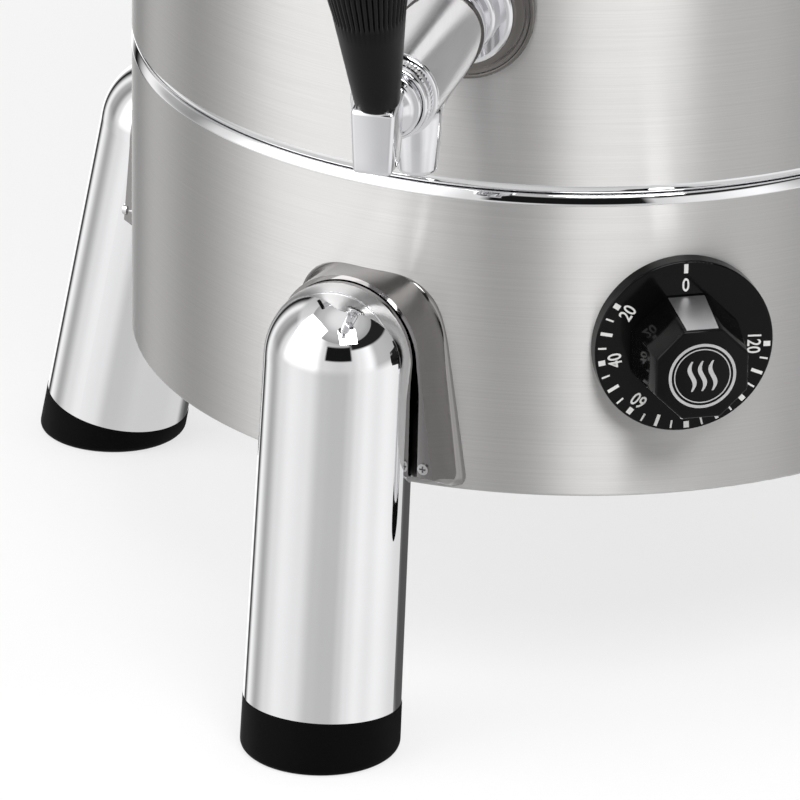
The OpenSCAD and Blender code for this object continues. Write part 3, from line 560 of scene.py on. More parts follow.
dial_black = plastic("dial_gloss_black", (0.0016, 0.0016, 0.0016), 0.08, 3000.0, 0.01, 0.05, 0.12)
grip_black = plastic("grip_satin_black", (0.0008, 0.0008, 0.0008), 0.28, 3500.0, 0.04, 0.1, 0.15)
foot_rubber = plastic("foot_rubber", (0.0006, 0.0006, 0.0007), 0.5, 2600.0, 0.12, 0.2, 0.06)
print_white = plastic("print_white", (0.40, 0.40, 0.39), 0.4, 3000.0, 0.02, 0.1)
print_grey = plastic("print_grey", (0.26, 0.26, 0.26), 0.4, 3000.0, 0.02, 0.1)
pale_plastic = plastic("pale_plastic", (0.36, 0.34, 0.29), 0.45, 2600.0, 0.1, 0.1)
felt = plastic("insulating_felt", (0.34, 0.29, 0.17), 0.9, 1200.0, 0.6, 0.05)
print("plastics and rubber made")

# %% [markdown]
# Every solid of the frame now gets its finish. The first list follows the record's material slots,
# and the second names the few nodes that differ: the plug's stem is plated, and the ring on the mouth
# is brushed like the lid.

# %% Finishes for the solids
SLOT_FINISH = {
    "brushed_steel": drum_steel, "polished_steel": leg_steel, "tap_chrome": tap_chrome,
    "foot_rubber": foot_rubber, "black_gloss": dial_black, "black_matt": grip_black,
    "plain_steel": screw_steel, "brass_parts": brass, "aluminium_parts": aluminium,
    "insulating": felt, "pale_plastic": pale_plastic}
NODE_FINISH = {
    "tank_jacket": jacket_steel, "lid_shell": lid_steel, "inner_tank": inner_steel,
    "bottom_cover": inner_steel, "tap_plug": tap_chrome, "mouth_ring": lid_steel}


def finish_solids():
    for part in frame["record"]["subparts"]:
        name = part["node"]
        material = NODE_FINISH.get(name, SLOT_FINISH[part["material_slot"]])
        mesh = nodes[name].data
        mesh.materials.clear()
        mesh.materials.append(material)
    return len(frame["record"]["subparts"])


print("solids finished:", finish_solids())

# %% [markdown]
# ## Helpers for new pieces
# A CAD solid is exact, but its lofted and stepped faces are flat in small steps, and a mirror shows
# every step. So the mirror pieces are skinned again here with many more rings. Each new piece is a
# closed mesh with smooth shading and hard edges where two faces really meet. It rides on a body and
# stands for the solid under it.

# %% Mesh helpers
LINES_PER_FLUTE = 10


def mix(a, b, share):
    return a + (b - a) * share


def shares(steps, start=0):
    """Even steps from 0 to 1, or from a later step."""
    return [i / steps for i in range(start, steps + 1)]


def full_turn(count):
    return [2 * math.pi * i / count for i in range(count)]


def skin_rings(rings, ends=True, looped=False):
    """Joins rings of equally many points. The ends are closed, or the last ring meets the first."""
    bm = bmesh.new()
    rows = [[bm.verts.new(point) for point in ring] for ring in rings]
    pairs = list(zip(rows, rows[1:]))
    if looped:
        pairs.append((rows[-1], rows[0]))
    for low, high in pairs:
        for j in range(len(low)):
            k = (j + 1) % len(low)
            bm.faces.new((low[j], low[k], high[k], high[j]))
    if ends and not looped:
        bm.faces.new(rows[0])
        bm.faces.new(rows[-1])
    bmesh.ops.remove_doubles(bm, verts=bm.verts, dist=1e-7)
    bmesh.ops.recalc_face_normals(bm, faces=bm.faces)
    return bm


def around_axis(place, r, a, h):
    return place @ Vector((r * math.cos(a), r * math.sin(a), h))


def turned(place, outline, segments=96, looped=False):
    """Turns an outline of (radius, height) pairs round the local Z of a place."""
    angles = full_turn(segments)
    rings = [[around_axis(place, r, a, h) for a in angles] for r, h in outline]
    return skin_rings(rings, looped=looped)


def fluted(place, outline, count, depth_at, looped=False):
    """Turns an outline like turned, with a row of hollow flutes whose depth depends on the height."""
    angles = full_turn(count * LINES_PER_FLUTE)
    hollows = [1 - abs(math.cos(count * a / 2)) ** 0.8 for a in angles]
    rings = []
    for r, h in outline:
        depth = depth_at(h)
        rings.append([around_axis(place, r - depth * v, a, h) for a, v in zip(angles, hollows)])
    return skin_rings(rings, looped=looped)


def arc(centre, radius, start, end, steps=8):
    """Points of an arc in an outline, with angles in degrees."""
    angles = [math.radians(mix(start, end, v)) for v in shares(steps)]
    return [(centre[0] + radius * math.cos(a), centre[1] + radius * math.sin(a)) for a in angles]


def joined(first, second):
    """Puts the faces of a second mesh into the first."""
    spare = bpy.data.meshes.new("spare")
    second.to_mesh(spare)
    second.free()
    first.from_mesh(spare)
    bpy.data.meshes.remove(spare)
    return first


def settle(piece, body, replaced=()):
    """Puts a piece under its body's empty and hides the nodes that it stands for."""
    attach(piece, body)
    if replaced:
        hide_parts(*replaced)


def new_piece(name, bm, material, body, replaced=(), sharp=38):
    """Makes an object of a mesh, with smooth faces and hard edges above an angle."""
    for face in bm.faces:
        face.smooth = True
    for edge in bm.edges:
        edge.smooth = edge.calc_face_angle(0.0) < math.radians(sharp)
    mesh = bpy.data.meshes.new(name)
    bm.to_mesh(mesh)
    bm.free()
    mesh.materials.append(material)
    settle(in_scene(name, mesh), body, replaced)


print("piece helpers ready")

# %% [markdown]
# ## Polished edges at the seam
# The drum's shoulder and the jacket's lower edge are rounded and polished. They show as two thin
# bright bands, and a mirror shows every facet of a solid. So each gets a fine ring of its own, a hair
# above the solid.

# %% Seam edges
EDGE_LIFT = 0.03
SHOULDER_LIFT = 0.14
EDGE_DEPTH = 0.3
SHOULDER_H = 2.72
SHOULDER_IN = 2.7
# Runs of the drum's shoulder: the radius of the bend and the slope it reaches, in degrees
SHOULDER_BENDS = ((1.2, 18), (9.5, 31), (0.75, 88))


def shoulder_outline():
    """The drum's shoulder leans back almost flat before it rolls over to the top."""
    low = SEAM_Z - SHOULDER_H
    r = DRUM_R + SHOULDER_LIFT
    h = low
    slope = 0
    outline = [(r, h)]
    for bend, reached in SHOULDER_BENDS:
        a = math.radians(slope)
        centre = (r - bend * math.cos(a), h - bend * math.sin(a))
        outline += arc(centre, bend, slope, reached, 10)[1:]
        r, h = outline[-1]
        slope = reached
    back = DRUM_R - SHOULDER_IN
    outline += [(back, h), (back, h - EDGE_DEPTH)]
    return outline + [(DRUM_R - 1.4, SEAM_Z - 1.2), (DRUM_R - EDGE_DEPTH, low)]


def lower_edge_outline():
    """The jacket's lower edge is a plain quarter round."""
    centre = (DRUM_R - BEAD_R, SEAM_Z + BEAD_R)
    outer = arc(centre, BEAD_R + EDGE_LIFT, 4, -86, 14)
    return outer + arc(centre, BEAD_R - EDGE_DEPTH, -86, 4, 14)


def make_seam_edge(name, outline):
    bm = turned(Matrix.Scale(MM, 4), outline, segments=256, looped=True)
    new_piece(name, bm, leg_steel, "urn")


make_seam_edge("drum_seam_edge", shoulder_outline())
make_seam_edge("jacket_seam_edge", lower_edge_outline())
print("seam edges made")

# %% [markdown]
# ## Saddles
# Each saddle fills the corner between a leg and the drum. Its section starts at a ledge in front,
# sweeps in a hollow curve to the wall, and comes back along the leg. The section is carried up one
# side of the leg, over the domed top and down the other side. The same formulas as in the CAD source
# are used, with many more stations. Below the dome the gap beside the leg opens a little, so that it
# reads as a dark line.

# %% Saddles
SADDLE_REACH = 11.7
SADDLE_LIFT = 2.2
SADDLE_SLANT = math.tan(math.radians(27))
SADDLE_SPREAD = math.tan(math.radians(7.7))
SADDLE_CORNER = 4.0
SADDLE_GAP = 0.3
SADDLE_OPEN = 1.3
OPEN_OVER = 20
OPEN_AT_SIDE = 0.35
SADDLE_SIDE = 2.5
SADDLE_CROWN = -1.3
SADDLE_SHOULDER = 2.6
LEDGE_W = 0.6
LEDGE_SPREAD = 0.75 * SADDLE_SPREAD
EDGE_STEP = 0.25
SURFACE_GAP = 0.02
DEEPEST_T = 15.0
SADDLE_LOW = RIM_Z + SADDLE_LIFT
SIDE_STEPS = 40
DOME_STEPS = 90


def wall_at(t):
    """Distance of the drum wall from the axis plane, beside the middle of a saddle."""
    return math.sqrt(DRUM_R ** 2 - t * t)


def saddle_section(leg, way, z):
    """Pairs of (distance from the leg's axis, distance out from the drum's axis) at one station."""
    below = leg.dome_z - z
    fall = below / (leg.dome_z - SADDLE_LOW)
    front = DRUM_R + SADDLE_REACH
    leg_out = leg.out - (z + SADDLE_REACH * SADDLE_SLANT * fall) * math.tan(math.radians(leg.splay))
    leg_r = LEG_TOP_R + below * leg.taper + SADDLE_GAP
    flare = mix(SADDLE_SIDE, SADDLE_CROWN, math.sin(way))
    flare += SADDLE_SHOULDER * math.sin(2 * way) ** 2
    corner = max(0.0, SADDLE_CORNER - (z - SADDLE_LOW))
    rounding = SADDLE_CORNER - math.sqrt(SADDLE_CORNER ** 2 - corner ** 2)
    ledge_t = leg_r + LEDGE_W + below * LEDGE_SPREAD
    edge_t = leg_r + flare + below * SADDLE_SPREAD - rounding
    bend_t = min(ledge_t, edge_t)
    bend = (bend_t, wall_at(bend_t * math.cos(way)))
    edge = (edge_t, wall_at(edge_t * math.cos(way)) + EDGE_STEP)
    points = []
    for v in shares(20):
        a = (mix(ledge_t, bend[0], v), mix(front, bend[1], v))
        b = (mix(bend[0], edge[0], v), mix(bend[1], edge[1], v))
        points.append((mix(a[0], b[0], v), mix(a[1], b[1], v)))
    points.append((edge_t, wall_at(edge_t * math.cos(way)) + SURFACE_GAP))
    open_share = min(1.0, below / OPEN_OVER + OPEN_AT_SIDE * (1 - math.sin(way)))
    inner_r = leg_r + SADDLE_OPEN * open_share ** 2 * (3 - 2 * open_share)
    deep = math.asin(min(1.0, (leg_out - wall_at(DEEPEST_T * math.cos(way))) / inner_r))
    shallow = math.asin((leg_out - front) / inner_r)
    for v in shares(6):
        a = mix(deep, shallow, v)
        t = inner_r * math.cos(a)
        wall = wall_at(t * math.cos(way)) + SURFACE_GAP
        points.append((t, max(leg_out - inner_r * math.sin(a), wall)))
    return points


def saddle_rings(leg):
    sides = [mix(SADDLE_LOW, leg.dome_z, i / SIDE_STEPS) for i in range(SIDE_STEPS)]
    stations = [(0.0, z) for z in sides]
    stations += [(math.pi * v, leg.dome_z) for v in shares(DOME_STEPS)]
    stations += [(math.pi, z) for z in reversed(sides)]
    place = outward(leg.azimuth, 0, 0)
    rings = []
    for way, z in stations:
        fall = (leg.dome_z - z) / (leg.dome_z - SADDLE_LOW)
        ring = []
        for t, out in saddle_section(leg, way, z):
            rise = (out - DRUM_R) * SADDLE_SLANT * fall
            ring.append(place @ Vector((t * math.cos(way), z + t * math.sin(way) + rise, out)))
        rings.append(ring)
    return rings


for leg in LEGS:
    bm = skin_rings(saddle_rings(leg))
    new_piece("saddle_skin_" + leg.name, bm, saddle_steel_painted_shade, "urn", ["saddle_" + leg.name])
print("saddles made:", len(LEGS))

# %% [markdown]
# ## Rubber feet
# A foot is a short cone on the leaning leg, cut level by the floor. Every upright line of the cone
# meets the floor at another place along the leg, so that place is worked out for each line. The lower
# edge is rounded.

# %% Feet
FOOT_EDGE = 2.0
FOOT_LIP = 0.15
FOOT_LINES = 96
FOOT_EDGE_FROM = 3.6


def foot_rings(leg):
    place = on_leg(leg)
    turns = full_turn(FOOT_LINES)

    def on_line(turn, w, inset=0.0):
        r = leg.low_r + FOOT_LIP + (leg.foot_h - w) * leg.taper - inset
        return around_axis(place, r, turn, w)

    def at_height(turn, height, inset):
        low = on_line(turn, 0.0).z
        step = on_line(turn, 1.0).z - low
        point = on_line(turn, (height * MM - low) / step, inset)
        point.z = height * MM
        return point

    rings = []
    for down, inset in ((0.02, 1.0), (0.02, 0.5), (0.2, 0.1), (0.7, 0.0)):
        rings.append([on_line(t, leg.foot_h - down, inset) for t in turns])
    rings.append([at_height(t, FOOT_EDGE_FROM, 0.0) for t in turns])
    for v in shares(6):
        a = math.pi / 2 * v
        height = FOOT_EDGE * (1 - math.sin(a))
        inset = FOOT_EDGE * (1 - math.cos(a))
        rings.append([at_height(t, height, inset) for t in turns])
    return rings


for leg in LEGS:
    bm = skin_rings(foot_rings(leg))
    new_piece("foot_rubber_" + leg.name, bm, foot_rubber, "urn", ["foot_" + leg.name])
print("feet made:", len(LEGS))

# %% [markdown]
# ## Dial
# The octagonal grip gets a narrow rounded edge all round, which catches the light as a thin line. A thin
# silver plate on its upper face is a painted highlight: it stands for the overhead box's reflection there.

# %% Dial grip
ON_DIAL = outward(0, DRUM_R, DIAL_Z)
GRIP_BASE_W = 30.0
GRIP_FRONT_W = 25.6
GRIP_H = 20.0
GRIP_FRONT = DIAL_FRONT + 0.02 + GRIP_H
FLAT_TO_CORNER = 1 / math.cos(math.pi / 8)
GRIP_BEVEL = 0.7
HIGHLIGHT_PLATE_THICK = 0.08
HIGHLIGHT_PLATE_LOW_INSET = 0.8
HIGHLIGHT_PLATE_HIGH_INSET = 0.9
HIGHLIGHT_PLATE_LOW_SIDE = 1.1
HIGHLIGHT_PLATE_HIGH_SIDE = 0.9


def make_dial_grip():
    bm = bmesh.new()
    middle = Matrix.Translation((0, 0, GRIP_FRONT - GRIP_H / 2)) @ Matrix.Rotation(math.pi / 8, 4, "Z")
    bmesh.ops.create_cone(bm, cap_ends=True, segments=8, radius1=GRIP_BASE_W / 2 * FLAT_TO_CORNER,
                          radius2=GRIP_FRONT_W / 2 * FLAT_TO_CORNER, depth=GRIP_H, matrix=middle)
    bmesh.ops.bevel(bm, geom=bm.edges[:], offset=GRIP_BEVEL, segments=3, profile=0.5, affect="EDGES")
    bm.transform(ON_DIAL)
    new_piece("dial_grip_octagon", bm, dial_black, "dial", ["dial_grip"])


def make_highlight_plate():
    """A painted highlight: a thin silver plate on the grip's upper face, narrower towards the front, with
    its edge inset.
    """
    half_low = GRIP_BASE_W / 2 * math.tan(math.pi / 8) - HIGHLIGHT_PLATE_LOW_SIDE
    half_high = GRIP_FRONT_W / 2 * math.tan(math.pi / 8) - HIGHLIGHT_PLATE_HIGH_SIDE
    lean = (GRIP_BASE_W - GRIP_FRONT_W) / 2 / GRIP_H
    rings = []
    for lift in (0.0, HIGHLIGHT_PLATE_THICK):
        low_face = GRIP_BASE_W / 2 - HIGHLIGHT_PLATE_LOW_INSET * lean
        high_face = GRIP_FRONT_W / 2 + HIGHLIGHT_PLATE_HIGH_INSET * lean
        low = (low_face + lift, DIAL_FRONT + HIGHLIGHT_PLATE_LOW_INSET)
        high = (high_face + lift, GRIP_FRONT - HIGHLIGHT_PLATE_HIGH_INSET)
        corners = [(-half_low, *low), (half_low, *low), (half_high, *high), (-half_high, *high)]
        rings.append([ON_DIAL @ Vector(c) for c in corners])
    new_piece("dial_painted_highlight_plate", skin_rings(rings), highlight_plate_silver, "dial")


make_dial_grip()
make_highlight_plate()
print("dial grip made")

# %% [markdown]
# The scale is printed in white. Its marks repeat, so one geometry tree makes them: points round a
# circle, a small bar on each, turned to face outwards. The tree is run once for each kind of mark,
# with its own count, start, step and size.

# %% Dial scale
SCALE_START = 55.4
SCALE_STEP = 42.4
MARK_OUTER = 24.2
PRINT_THICK = 0.06
ON_FACE = ON_DIAL @ Matrix.Translation((0, 0, DIAL_FRONT))
# Marks: name, count, first angle, step, length and width
TICKS = (
    ("dial_tick_zero", 1, 0.0, 0.0, 2.7, 1.15),
    ("dial_ticks_square", 6, SCALE_START, SCALE_STEP, 1.9, 1.5),
    ("dial_ticks_long", 5, SCALE_START + SCALE_STEP / 2, SCALE_STEP, 3.4, 0.95),
    ("dial_ticks_short", 10, SCALE_START + SCALE_STEP / 4, SCALE_STEP / 2, 2.3, 0.5))
TICK_INPUTS = (
    ("Count", "NodeSocketInt"), ("Start", "NodeSocketFloat"), ("Step", "NodeSocketFloat"),
    ("Radius", "NodeSocketFloat"), ("Length", "NodeSocketFloat"), ("Width", "NodeSocketFloat"),
    ("Thickness", "NodeSocketFloat"), ("Material", "NodeSocketMaterial"))


def make_tick_tree():
    tree = bpy.data.node_groups.new("scale_ticks", "GeometryNodeTree")
    for name, kind in TICK_INPUTS:
        socket(tree, name, "INPUT", kind)
    socket(tree, "Geometry", "OUTPUT", "NodeSocketGeometry")
    given = tree.nodes.new("NodeGroupInput").outputs
    out = tree.nodes.new("NodeGroupOutput")
    index = made(tree, "GeometryNodeInputIndex")
    angle = math_node(tree, "MULTIPLY_ADD", index, given["Step"])
    tree.links.new(given["Start"], angle.node.inputs[2])
    leftward = math_node(tree, "MULTIPLY", given["Radius"], -1.0)
    across = math_node(tree, "MULTIPLY", math_node(tree, "SINE", angle), leftward)
    upward = math_node(tree, "MULTIPLY", math_node(tree, "COSINE", angle), given["Radius"])
    place = made(tree, "ShaderNodeCombineXYZ", {"X": across, "Y": upward})
    points = made(tree, "GeometryNodePoints", {"Count": given["Count"], "Position": place})
    size = made(tree, "ShaderNodeCombineXYZ", {
        "X": given["Width"], "Y": given["Length"], "Z": given["Thickness"]})
    bar = add(tree, "GeometryNodeMeshCube", {"Size": size}).outputs["Mesh"]
    euler = made(tree, "ShaderNodeCombineXYZ", {"Z": angle})
    turn = made(tree, "FunctionNodeEulerToRotation", {"Euler": euler})
    placed = made(tree, "GeometryNodeInstanceOnPoints", {
        "Points": points, "Instance": bar, "Rotation": turn})
    real = made(tree, "GeometryNodeRealizeInstances", {"Geometry": placed})
    painted = made(tree, "GeometryNodeSetMaterial", {"Geometry": real, "Material": given["Material"]})
    tree.links.new(painted, out.inputs["Geometry"])
    return tree


def grown(name, tree, values, place):
    """Runs a geometry tree on an empty object and keeps its result as a plain mesh at a place."""
    holder = in_scene(name, bpy.data.meshes.new(name))
    modifier = holder.modifiers.new("grow", "NODES")
    modifier.node_group = tree
    names = {item.name: item.identifier for item in tree.interface.items_tree}
    for key, value in values.items():
        modifier[names[key]] = value
    graph = bpy.context.evaluated_depsgraph_get()
    mesh = bpy.data.meshes.new_from_object(holder.evaluated_get(graph))
    holder.modifiers.clear()
    holder.data = mesh
    mesh.transform(place)
    return holder


def make_ticks(name, count, start, step, length, width):
    values = {"Count": count, "Start": math.radians(start), "Step": math.radians(step),
              "Radius": MARK_OUTER - length / 2, "Length": length, "Width": width,
              "Thickness": 2 * PRINT_THICK, "Material": print_white}
    settle(grown(name, tick_tree, values, ON_FACE), "dial")


tick_tree = make_tick_tree()
for mark in TICKS:
    make_ticks(*mark)
print("scale marks made:", sum(mark[1] for mark in TICKS))

# %% [markdown]
# The numbers stand inside the marks with their tops outwards. They come from Blender's own font, made
# into flat meshes, brought to one height and narrowed a little.

# %% Dial numbers
NUMBER_H = 3.9
NUMBER_R = 19.6
ZERO_R = 18.1
NUMBER_NARROW = 0.78
FONT_EXTRUDE = 0.01
FONT_BOLDER = 0.012


def number_mesh(text):
    curve = bpy.data.curves.new("number", "FONT")
    curve.body = text
    curve.extrude = FONT_EXTRUDE
    curve.offset = FONT_BOLDER
    curve.resolution_u = 5
    holder = in_scene("number", curve)
    graph = bpy.context.evaluated_depsgraph_get()
    mesh = bpy.data.meshes.new_from_object(holder.evaluated_get(graph))
    bpy.data.objects.remove(holder)
    bpy.data.curves.remove(curve)
    xs = [v.co.x for v in mesh.vertices]
    ys = [v.co.y for v in mesh.vertices]
    scale = NUMBER_H / (max(ys) - min(ys))
    centre = Vector(((max(xs) + min(xs)) / 2, (max(ys) + min(ys)) / 2, 0))
    narrow = Matrix.Diagonal((scale * NUMBER_NARROW, scale, PRINT_THICK / FONT_EXTRUDE, 1))
    mesh.transform(narrow @ Matrix.Translation(-centre))
    return mesh


def make_numbers():
    bm = bmesh.new()
    for i, text in enumerate(("0", "20", "40", "60", "80", "100", "120")):
        angle = math.radians(SCALE_START + SCALE_STEP * (i - 1)) if i else 0.0
        mesh = number_mesh(text)
        out = Matrix.Translation((0, NUMBER_R if i else ZERO_R, 0))
        mesh.transform(Matrix.Rotation(angle, 4, "Z") @ out)
        bm.from_mesh(mesh)
        bpy.data.meshes.remove(mesh)
    bm.transform(ON_FACE)
    new_piece("dial_numbers", bm, print_white, "dial")


make_numbers()
print("numbers made")

# %% [markdown]
# On the grip's front is a plain sign for heat: a double ring and three rising waves.

# %% Heat sign
SIGN_DOWN = -0.4
PRINT_LEVELS = (-PRINT_THICK, PRINT_THICK)
SIGN_RINGS = ((8.6, 9.4), (7.6, 7.9))
WAVE_PLACES = (-2.9, 0.0, 2.9)
WAVE_REACH = 4.4
WAVE_SWAY = 0.75
WAVE_W = 1.35


def flat_ring(place, inner, outer):
    low, high = PRINT_LEVELS
    outline = [(inner, low), (outer, low), (outer, high), (inner, high)]
    return turned(place, outline, looped=True)


def wave(place, x):
    """A rising wavy strip whose width narrows at both ends."""
    below, above = PRINT_LEVELS
    rings = []
    for v in shares(36):
        y = mix(-WAVE_REACH, WAVE_REACH, v)
        middle = x + WAVE_SWAY * math.sin(2 * math.pi * v)
        half = WAVE_W / 2 * (0.35 + 0.65 * math.sin(math.pi * v))
        corners = ((-half, below), (half, below), (half, above), (-half, above))
        rings.append([place @ Vector((middle + dx, y, dz)) for dx, dz in corners])
    return skin_rings(rings)


def make_heat_sign():
    place = ON_DIAL @ Matrix.Translation((0, SIGN_DOWN, GRIP_FRONT))
    bm = bmesh.new()
    for inner, outer in SIGN_RINGS:
        joined(bm, flat_ring(place, inner, outer))
    for x in WAVE_PLACES:
        joined(bm, wave(place, x))
    new_piece("dial_heat_sign", bm, print_grey, "dial")


make_heat_sign()
print("heat sign made")

# %% [markdown]
# ## Tap
# The barrel grows from a narrow neck to its full width along a quarter of an ellipse. The spout
# starts on the barrel's own surface and leaves it without a step: every line of the spout is a cubic
# curve whose first direction lies in the barrel's surface and whose last one follows the spout's
# cone.

# %% Tap body
ON_TAP = outward(TAP_AZ, DRUM_R, TAP_Z)
BARREL_R = 11.7
BARREL_OUT = 67.5
NECK_R = 7.2
NECK_OUT = 9.1
BARREL_SWELL = 14.0
SHANK_R = 7.4
SHANK_END = -24.5
BORE_R = 4.6
SPOUT_OUT = 44.5
SPOUT_DROP = 30.6
SPOUT_R = 5.4
SPOUT_BORE_R = 3.2
SPOUT_BLEND_END = 23.0
SPOUT_START_R = 9.8
SPOUT_CONE = 0.09
SPOUT_LIP = 1.6
SPOUT_PULL = 0.45
SPOUT_BORE_TOP = 9.0
TAP_SEGMENTS = 128


def barrel_outline():
    outline = [(BORE_R, SHANK_END), (SHANK_R, SHANK_END)]
    outline += [(SHANK_R, NECK_OUT - 0.6), (NECK_R, NECK_OUT)]
    for v in shares(24, 1):
        a = math.pi / 2 * v
        h = NECK_OUT + BARREL_SWELL * (1 - math.cos(a))
        outline.append((mix(NECK_R, BARREL_R, math.sin(a)), h))
    return outline + [(BARREL_R, BARREL_OUT - 0.5), (BARREL_R - 0.4, BARREL_OUT), (BORE_R, BARREL_OUT)]


def spout_line(turn):
    """Pairs of (distance from the spout's axis, drop), from the barrel to the bore."""
    side = math.cos(turn)
    reach = math.sqrt(BARREL_R ** 2 - (SPOUT_START_R * side) ** 2)
    slope = SPOUT_START_R * side * side / reach
    size = math.hypot(1.0, slope)
    first = (SPOUT_START_R, reach - 0.03)
    last = (SPOUT_R + SPOUT_CONE * (SPOUT_DROP - SPOUT_BLEND_END), SPOUT_BLEND_END)
    pull = SPOUT_PULL * math.hypot(first[0] - last[0], first[1] - last[1])
    second = (first[0] - pull / size, first[1] + pull * slope / size)
    third = (last[0] + pull * SPOUT_CONE, last[1] - pull)
    points = []
    for v in shares(18):
        weights = ((1 - v) ** 3, 3 * v * (1 - v) ** 2, 3 * v * v * (1 - v), v ** 3)
        pulls = list(zip(weights, (first, second, third, last)))
        points.append(tuple(sum(w * p[k] for w, p in pulls) for k in (0, 1)))
    points += arc((SPOUT_R - SPOUT_LIP, SPOUT_DROP - SPOUT_LIP), SPOUT_LIP, 0, 90)
    points += [(SPOUT_BORE_R + 0.3, SPOUT_DROP), (SPOUT_BORE_R, SPOUT_DROP - 0.3)]
    points.append((SPOUT_BORE_R, SPOUT_BORE_TOP))
    return points


def make_tap_body():
    bm = turned(ON_TAP, barrel_outline(), segments=TAP_SEGMENTS, looped=True)
    lines = []
    for turn in full_turn(TAP_SEGMENTS):
        line = []
        for r, drop in spout_line(turn):
            point = Vector((r * math.cos(turn), -drop, SPOUT_OUT + r * math.sin(turn)))
            line.append(ON_TAP @ point)
        lines.append(line)
    joined(bm, skin_rings(zip(*lines), ends=False))
    new_piece("tap_body_smooth", bm, tap_chrome, "urn", ["tap_body"])


make_tap_body()
print("tap body made")

# %% [markdown]
# The plate behind the tap is dished, with a rolled rim. The bonnet on the barrel's end has a rim, a
# band of fine notches and a dished front. The lever's block is a forging with rounded edges, on a
# dished hub, and its seat leans with the grip.

# %% Tap plate and lever block
PLATE_R = 20.5
PLATE_HOLE = 7.5
PLATE_DISH_R = 14.6
PLATE_ROLL = 0.75
BONNET_RIM_R = 11.8
BONNET_BAND_R = 10.9
BONNET_LIP_R = 10.5
BONNET_BAND = (1.95, 4.65)
BONNET_NOTCHES = 56
BONNET_NOTCH = 0.12
BLOCK_W = 12.0
BLOCK_LOW_W = 10.4
BLOCK_DEPTH = 11.0
BLOCK_DROP = 14.2
BLOCK_RISE = 3.5
HUB_H = 4.6
HUB_BACK = BARREL_OUT + 7.8
BLOCK_BACK = HUB_BACK + HUB_H
BLOCK_FRONT = BLOCK_BACK + BLOCK_DEPTH
LEVER_LEAN = math.radians(17.5)
BLOCK_BEVEL = 1.25
HUB_R = 8.4
HUB_EDGE = 0.9
HUB_DISH = (8.6, 5.2)


def make_tap_plate():
    outline = [(PLATE_HOLE, 0.1), (PLATE_R, 0.1)]
    outline += arc((PLATE_R - PLATE_ROLL, 0.8), PLATE_ROLL, 0, 150, 12)
    for v in shares(12, 1):
        h = 1.2 - 0.45 * math.sin(math.pi * v) + 0.55 * v
        outline.append((mix(PLATE_R - 1.4, PLATE_DISH_R, v), h))
    outline += [(PLATE_DISH_R - 0.2, 2.0), (PLATE_HOLE, 2.0)]
    bm = turned(ON_TAP, outline, segments=TAP_SEGMENTS, looped=True)
    new_piece("tap_plate_dished", bm, plate_steel_painted_shade, "urn", ["tap_plate"])


def bonnet_flute(h):
    """The bonnet has its fine notches on the band between its rim and its front lip."""
    low, high = BONNET_BAND
    return BONNET_NOTCH if low < h - BARREL_OUT < high else 0.0


def make_bonnet():
    rim, band, lip = BONNET_RIM_R, BONNET_BAND_R, BONNET_LIP_R
    outline = [(BORE_R, 0.05), (rim - 0.3, 0.05), (rim, 0.35), (rim, 1.25), (rim - 0.3, 1.55)]
    outline += [(band, 1.7), (band, 2.0), (band, 4.6), (lip, 4.8), (lip, 6.2)]
    outline += arc((lip - 0.9, 6.3), 0.9, 0, 100)
    outline += [(9.0, 6.9), (8.2, 6.3), (6.4, 6.0), (BORE_R, 6.0)]
    outline = [(r, BARREL_OUT + h) for r, h in outline]
    bm = fluted(ON_TAP, outline, BONNET_NOTCHES, bonnet_flute, looped=True)
    new_piece("tap_bonnet_turned", bm, tap_chrome, "urn", ["tap_bonnet"])


def block_shape():
    """A block with a leaning top, before its edges are rounded."""
    low = BLOCK_LOW_W / 2
    high = BLOCK_W / 2
    back_rise = BLOCK_RISE + (BLOCK_DEPTH - 1.2) * math.tan(LEVER_LEAN)
    rings = []
    for u, top in ((BLOCK_BACK, back_rise), (BLOCK_FRONT, BLOCK_RISE)):
        rings.append([Vector((-low, -BLOCK_DROP, u)), Vector((low, -BLOCK_DROP, u)),
                      Vector((high, top, u)), Vector((-high, top, u))])
    bm = skin_rings(rings)
    bmesh.ops.bevel(bm, geom=bm.edges[:], offset=BLOCK_BEVEL, segments=4, profile=0.5, affect="EDGES")
    bm.transform(ON_TAP)
    return bm


def make_lever_block():
    hub = [(0.0, HUB_BACK), (HUB_R, HUB_BACK)]
    hub += arc((HUB_R, HUB_BACK + HUB_EDGE), HUB_EDGE, -90, 60)
    for v in shares(14, 1):
        hub.append((mix(*HUB_DISH, v), HUB_BACK + 1.7 + (HUB_H - 1.2) * v ** 2.2))
    hub.append((0.0, HUB_BACK + HUB_H + 0.5))
    bm = joined(block_shape(), turned(ON_TAP, hub))
    new_piece("lever_block_forged", bm, tap_chrome, "tap_lever", ["lever_block"], sharp=60)


make_tap_plate()
make_bonnet()
make_lever_block()
print("plate, bonnet and block made")

# %% [markdown]
# ## Fluted lever grip
# The grip is a plain cone at its foot and fluted above. Each ring of the turned form is waved by a
# row of hollow flutes, whose depth grows in from nothing over a short step and fades again at the
# cap.

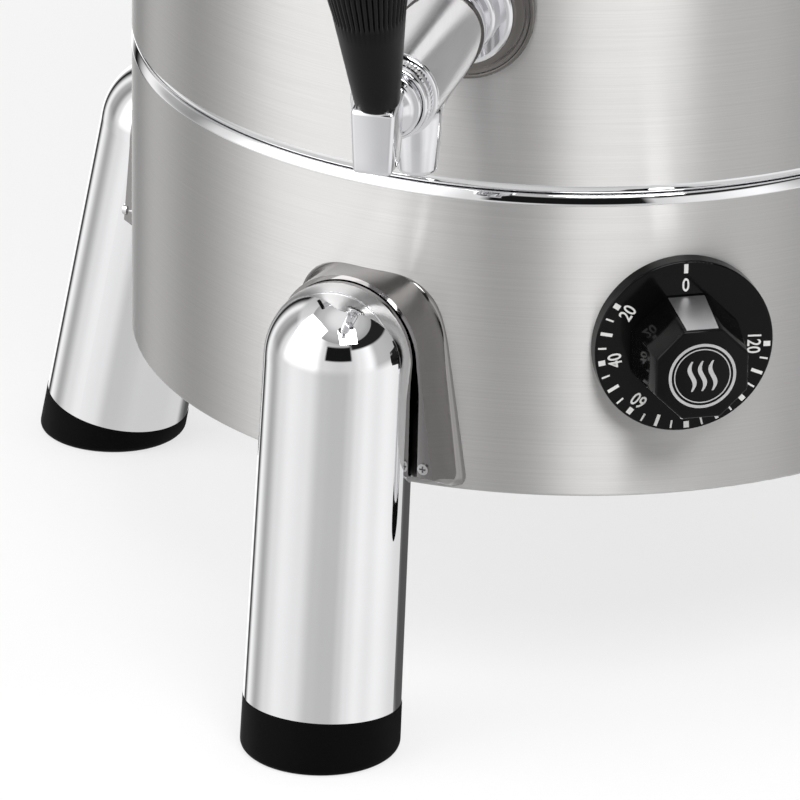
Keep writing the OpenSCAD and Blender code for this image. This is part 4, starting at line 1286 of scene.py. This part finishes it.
# %% Lever grip
GRIP_FOOT = (BLOCK_BACK + BLOCK_DEPTH / 2, BLOCK_RISE + 0.8)
GRIP_LOW_R = 6.1
GRIP_MID_R = 9.6
GRIP_WIDE_R = 13.0
GRIP_CONE_H = 30.0
GRIP_LEN = 84.0
GRIP_WIDEST = 0.72
FLUTES = 46
FLUTE_DEPTH = 0.55
FLUTE_IN = 1.4
FLUTE_OUT = 5
FLUTE_END = 4
GRIP_CAP = 9.0
GRIP_FOOT_EDGE = 1.2


def grip_outline():
    widest = GRIP_LEN * GRIP_WIDEST
    cap = GRIP_LEN - GRIP_CAP
    cap_r = GRIP_WIDE_R - 1
    outline = [(0.0, 0.5), (GRIP_LOW_R - 0.6, 0.5), (GRIP_LOW_R - 0.15, 0.7), (GRIP_LOW_R, GRIP_FOOT_EDGE)]
    for v in shares(6, 1):
        outline.append((mix(GRIP_LOW_R, GRIP_MID_R, v), mix(GRIP_FOOT_EDGE, GRIP_CONE_H - 0.4, v)))
    for v in shares(24):
        bulge = math.sin(math.pi / 2 * v)
        outline.append((mix(GRIP_MID_R, GRIP_WIDE_R, bulge), mix(GRIP_CONE_H, widest, v)))
    for v in shares(4, 1):
        outline.append((mix(GRIP_WIDE_R, cap_r, v), mix(widest, cap, v)))
    for v in shares(12, 1):
        a = math.pi / 2 * v
        outline.append((cap_r * math.cos(a), cap + GRIP_CAP * math.sin(a)))
    return outline


def grip_flute(h):
    """Depth of the flutes at a height on the grip."""
    rise = min(1.0, max(0.0, (h - GRIP_CONE_H + 0.3) / FLUTE_IN))
    fade = min(1.0, max(0.0, (GRIP_LEN - FLUTE_END - h) / FLUTE_OUT))
    return FLUTE_DEPTH * rise * fade


def make_lever_grip():
    lean = Matrix.Rotation(LEVER_LEAN - math.pi / 2, 4, "X")
    place = ON_TAP @ Matrix.Translation((0, GRIP_FOOT[1], GRIP_FOOT[0])) @ lean
    bm = fluted(place, grip_outline(), FLUTES, grip_flute)
    new_piece("lever_grip_fluted", bm, grip_black, "tap_lever", ["lever_grip"], sharp=70)


make_lever_grip()
print("lever grip made")
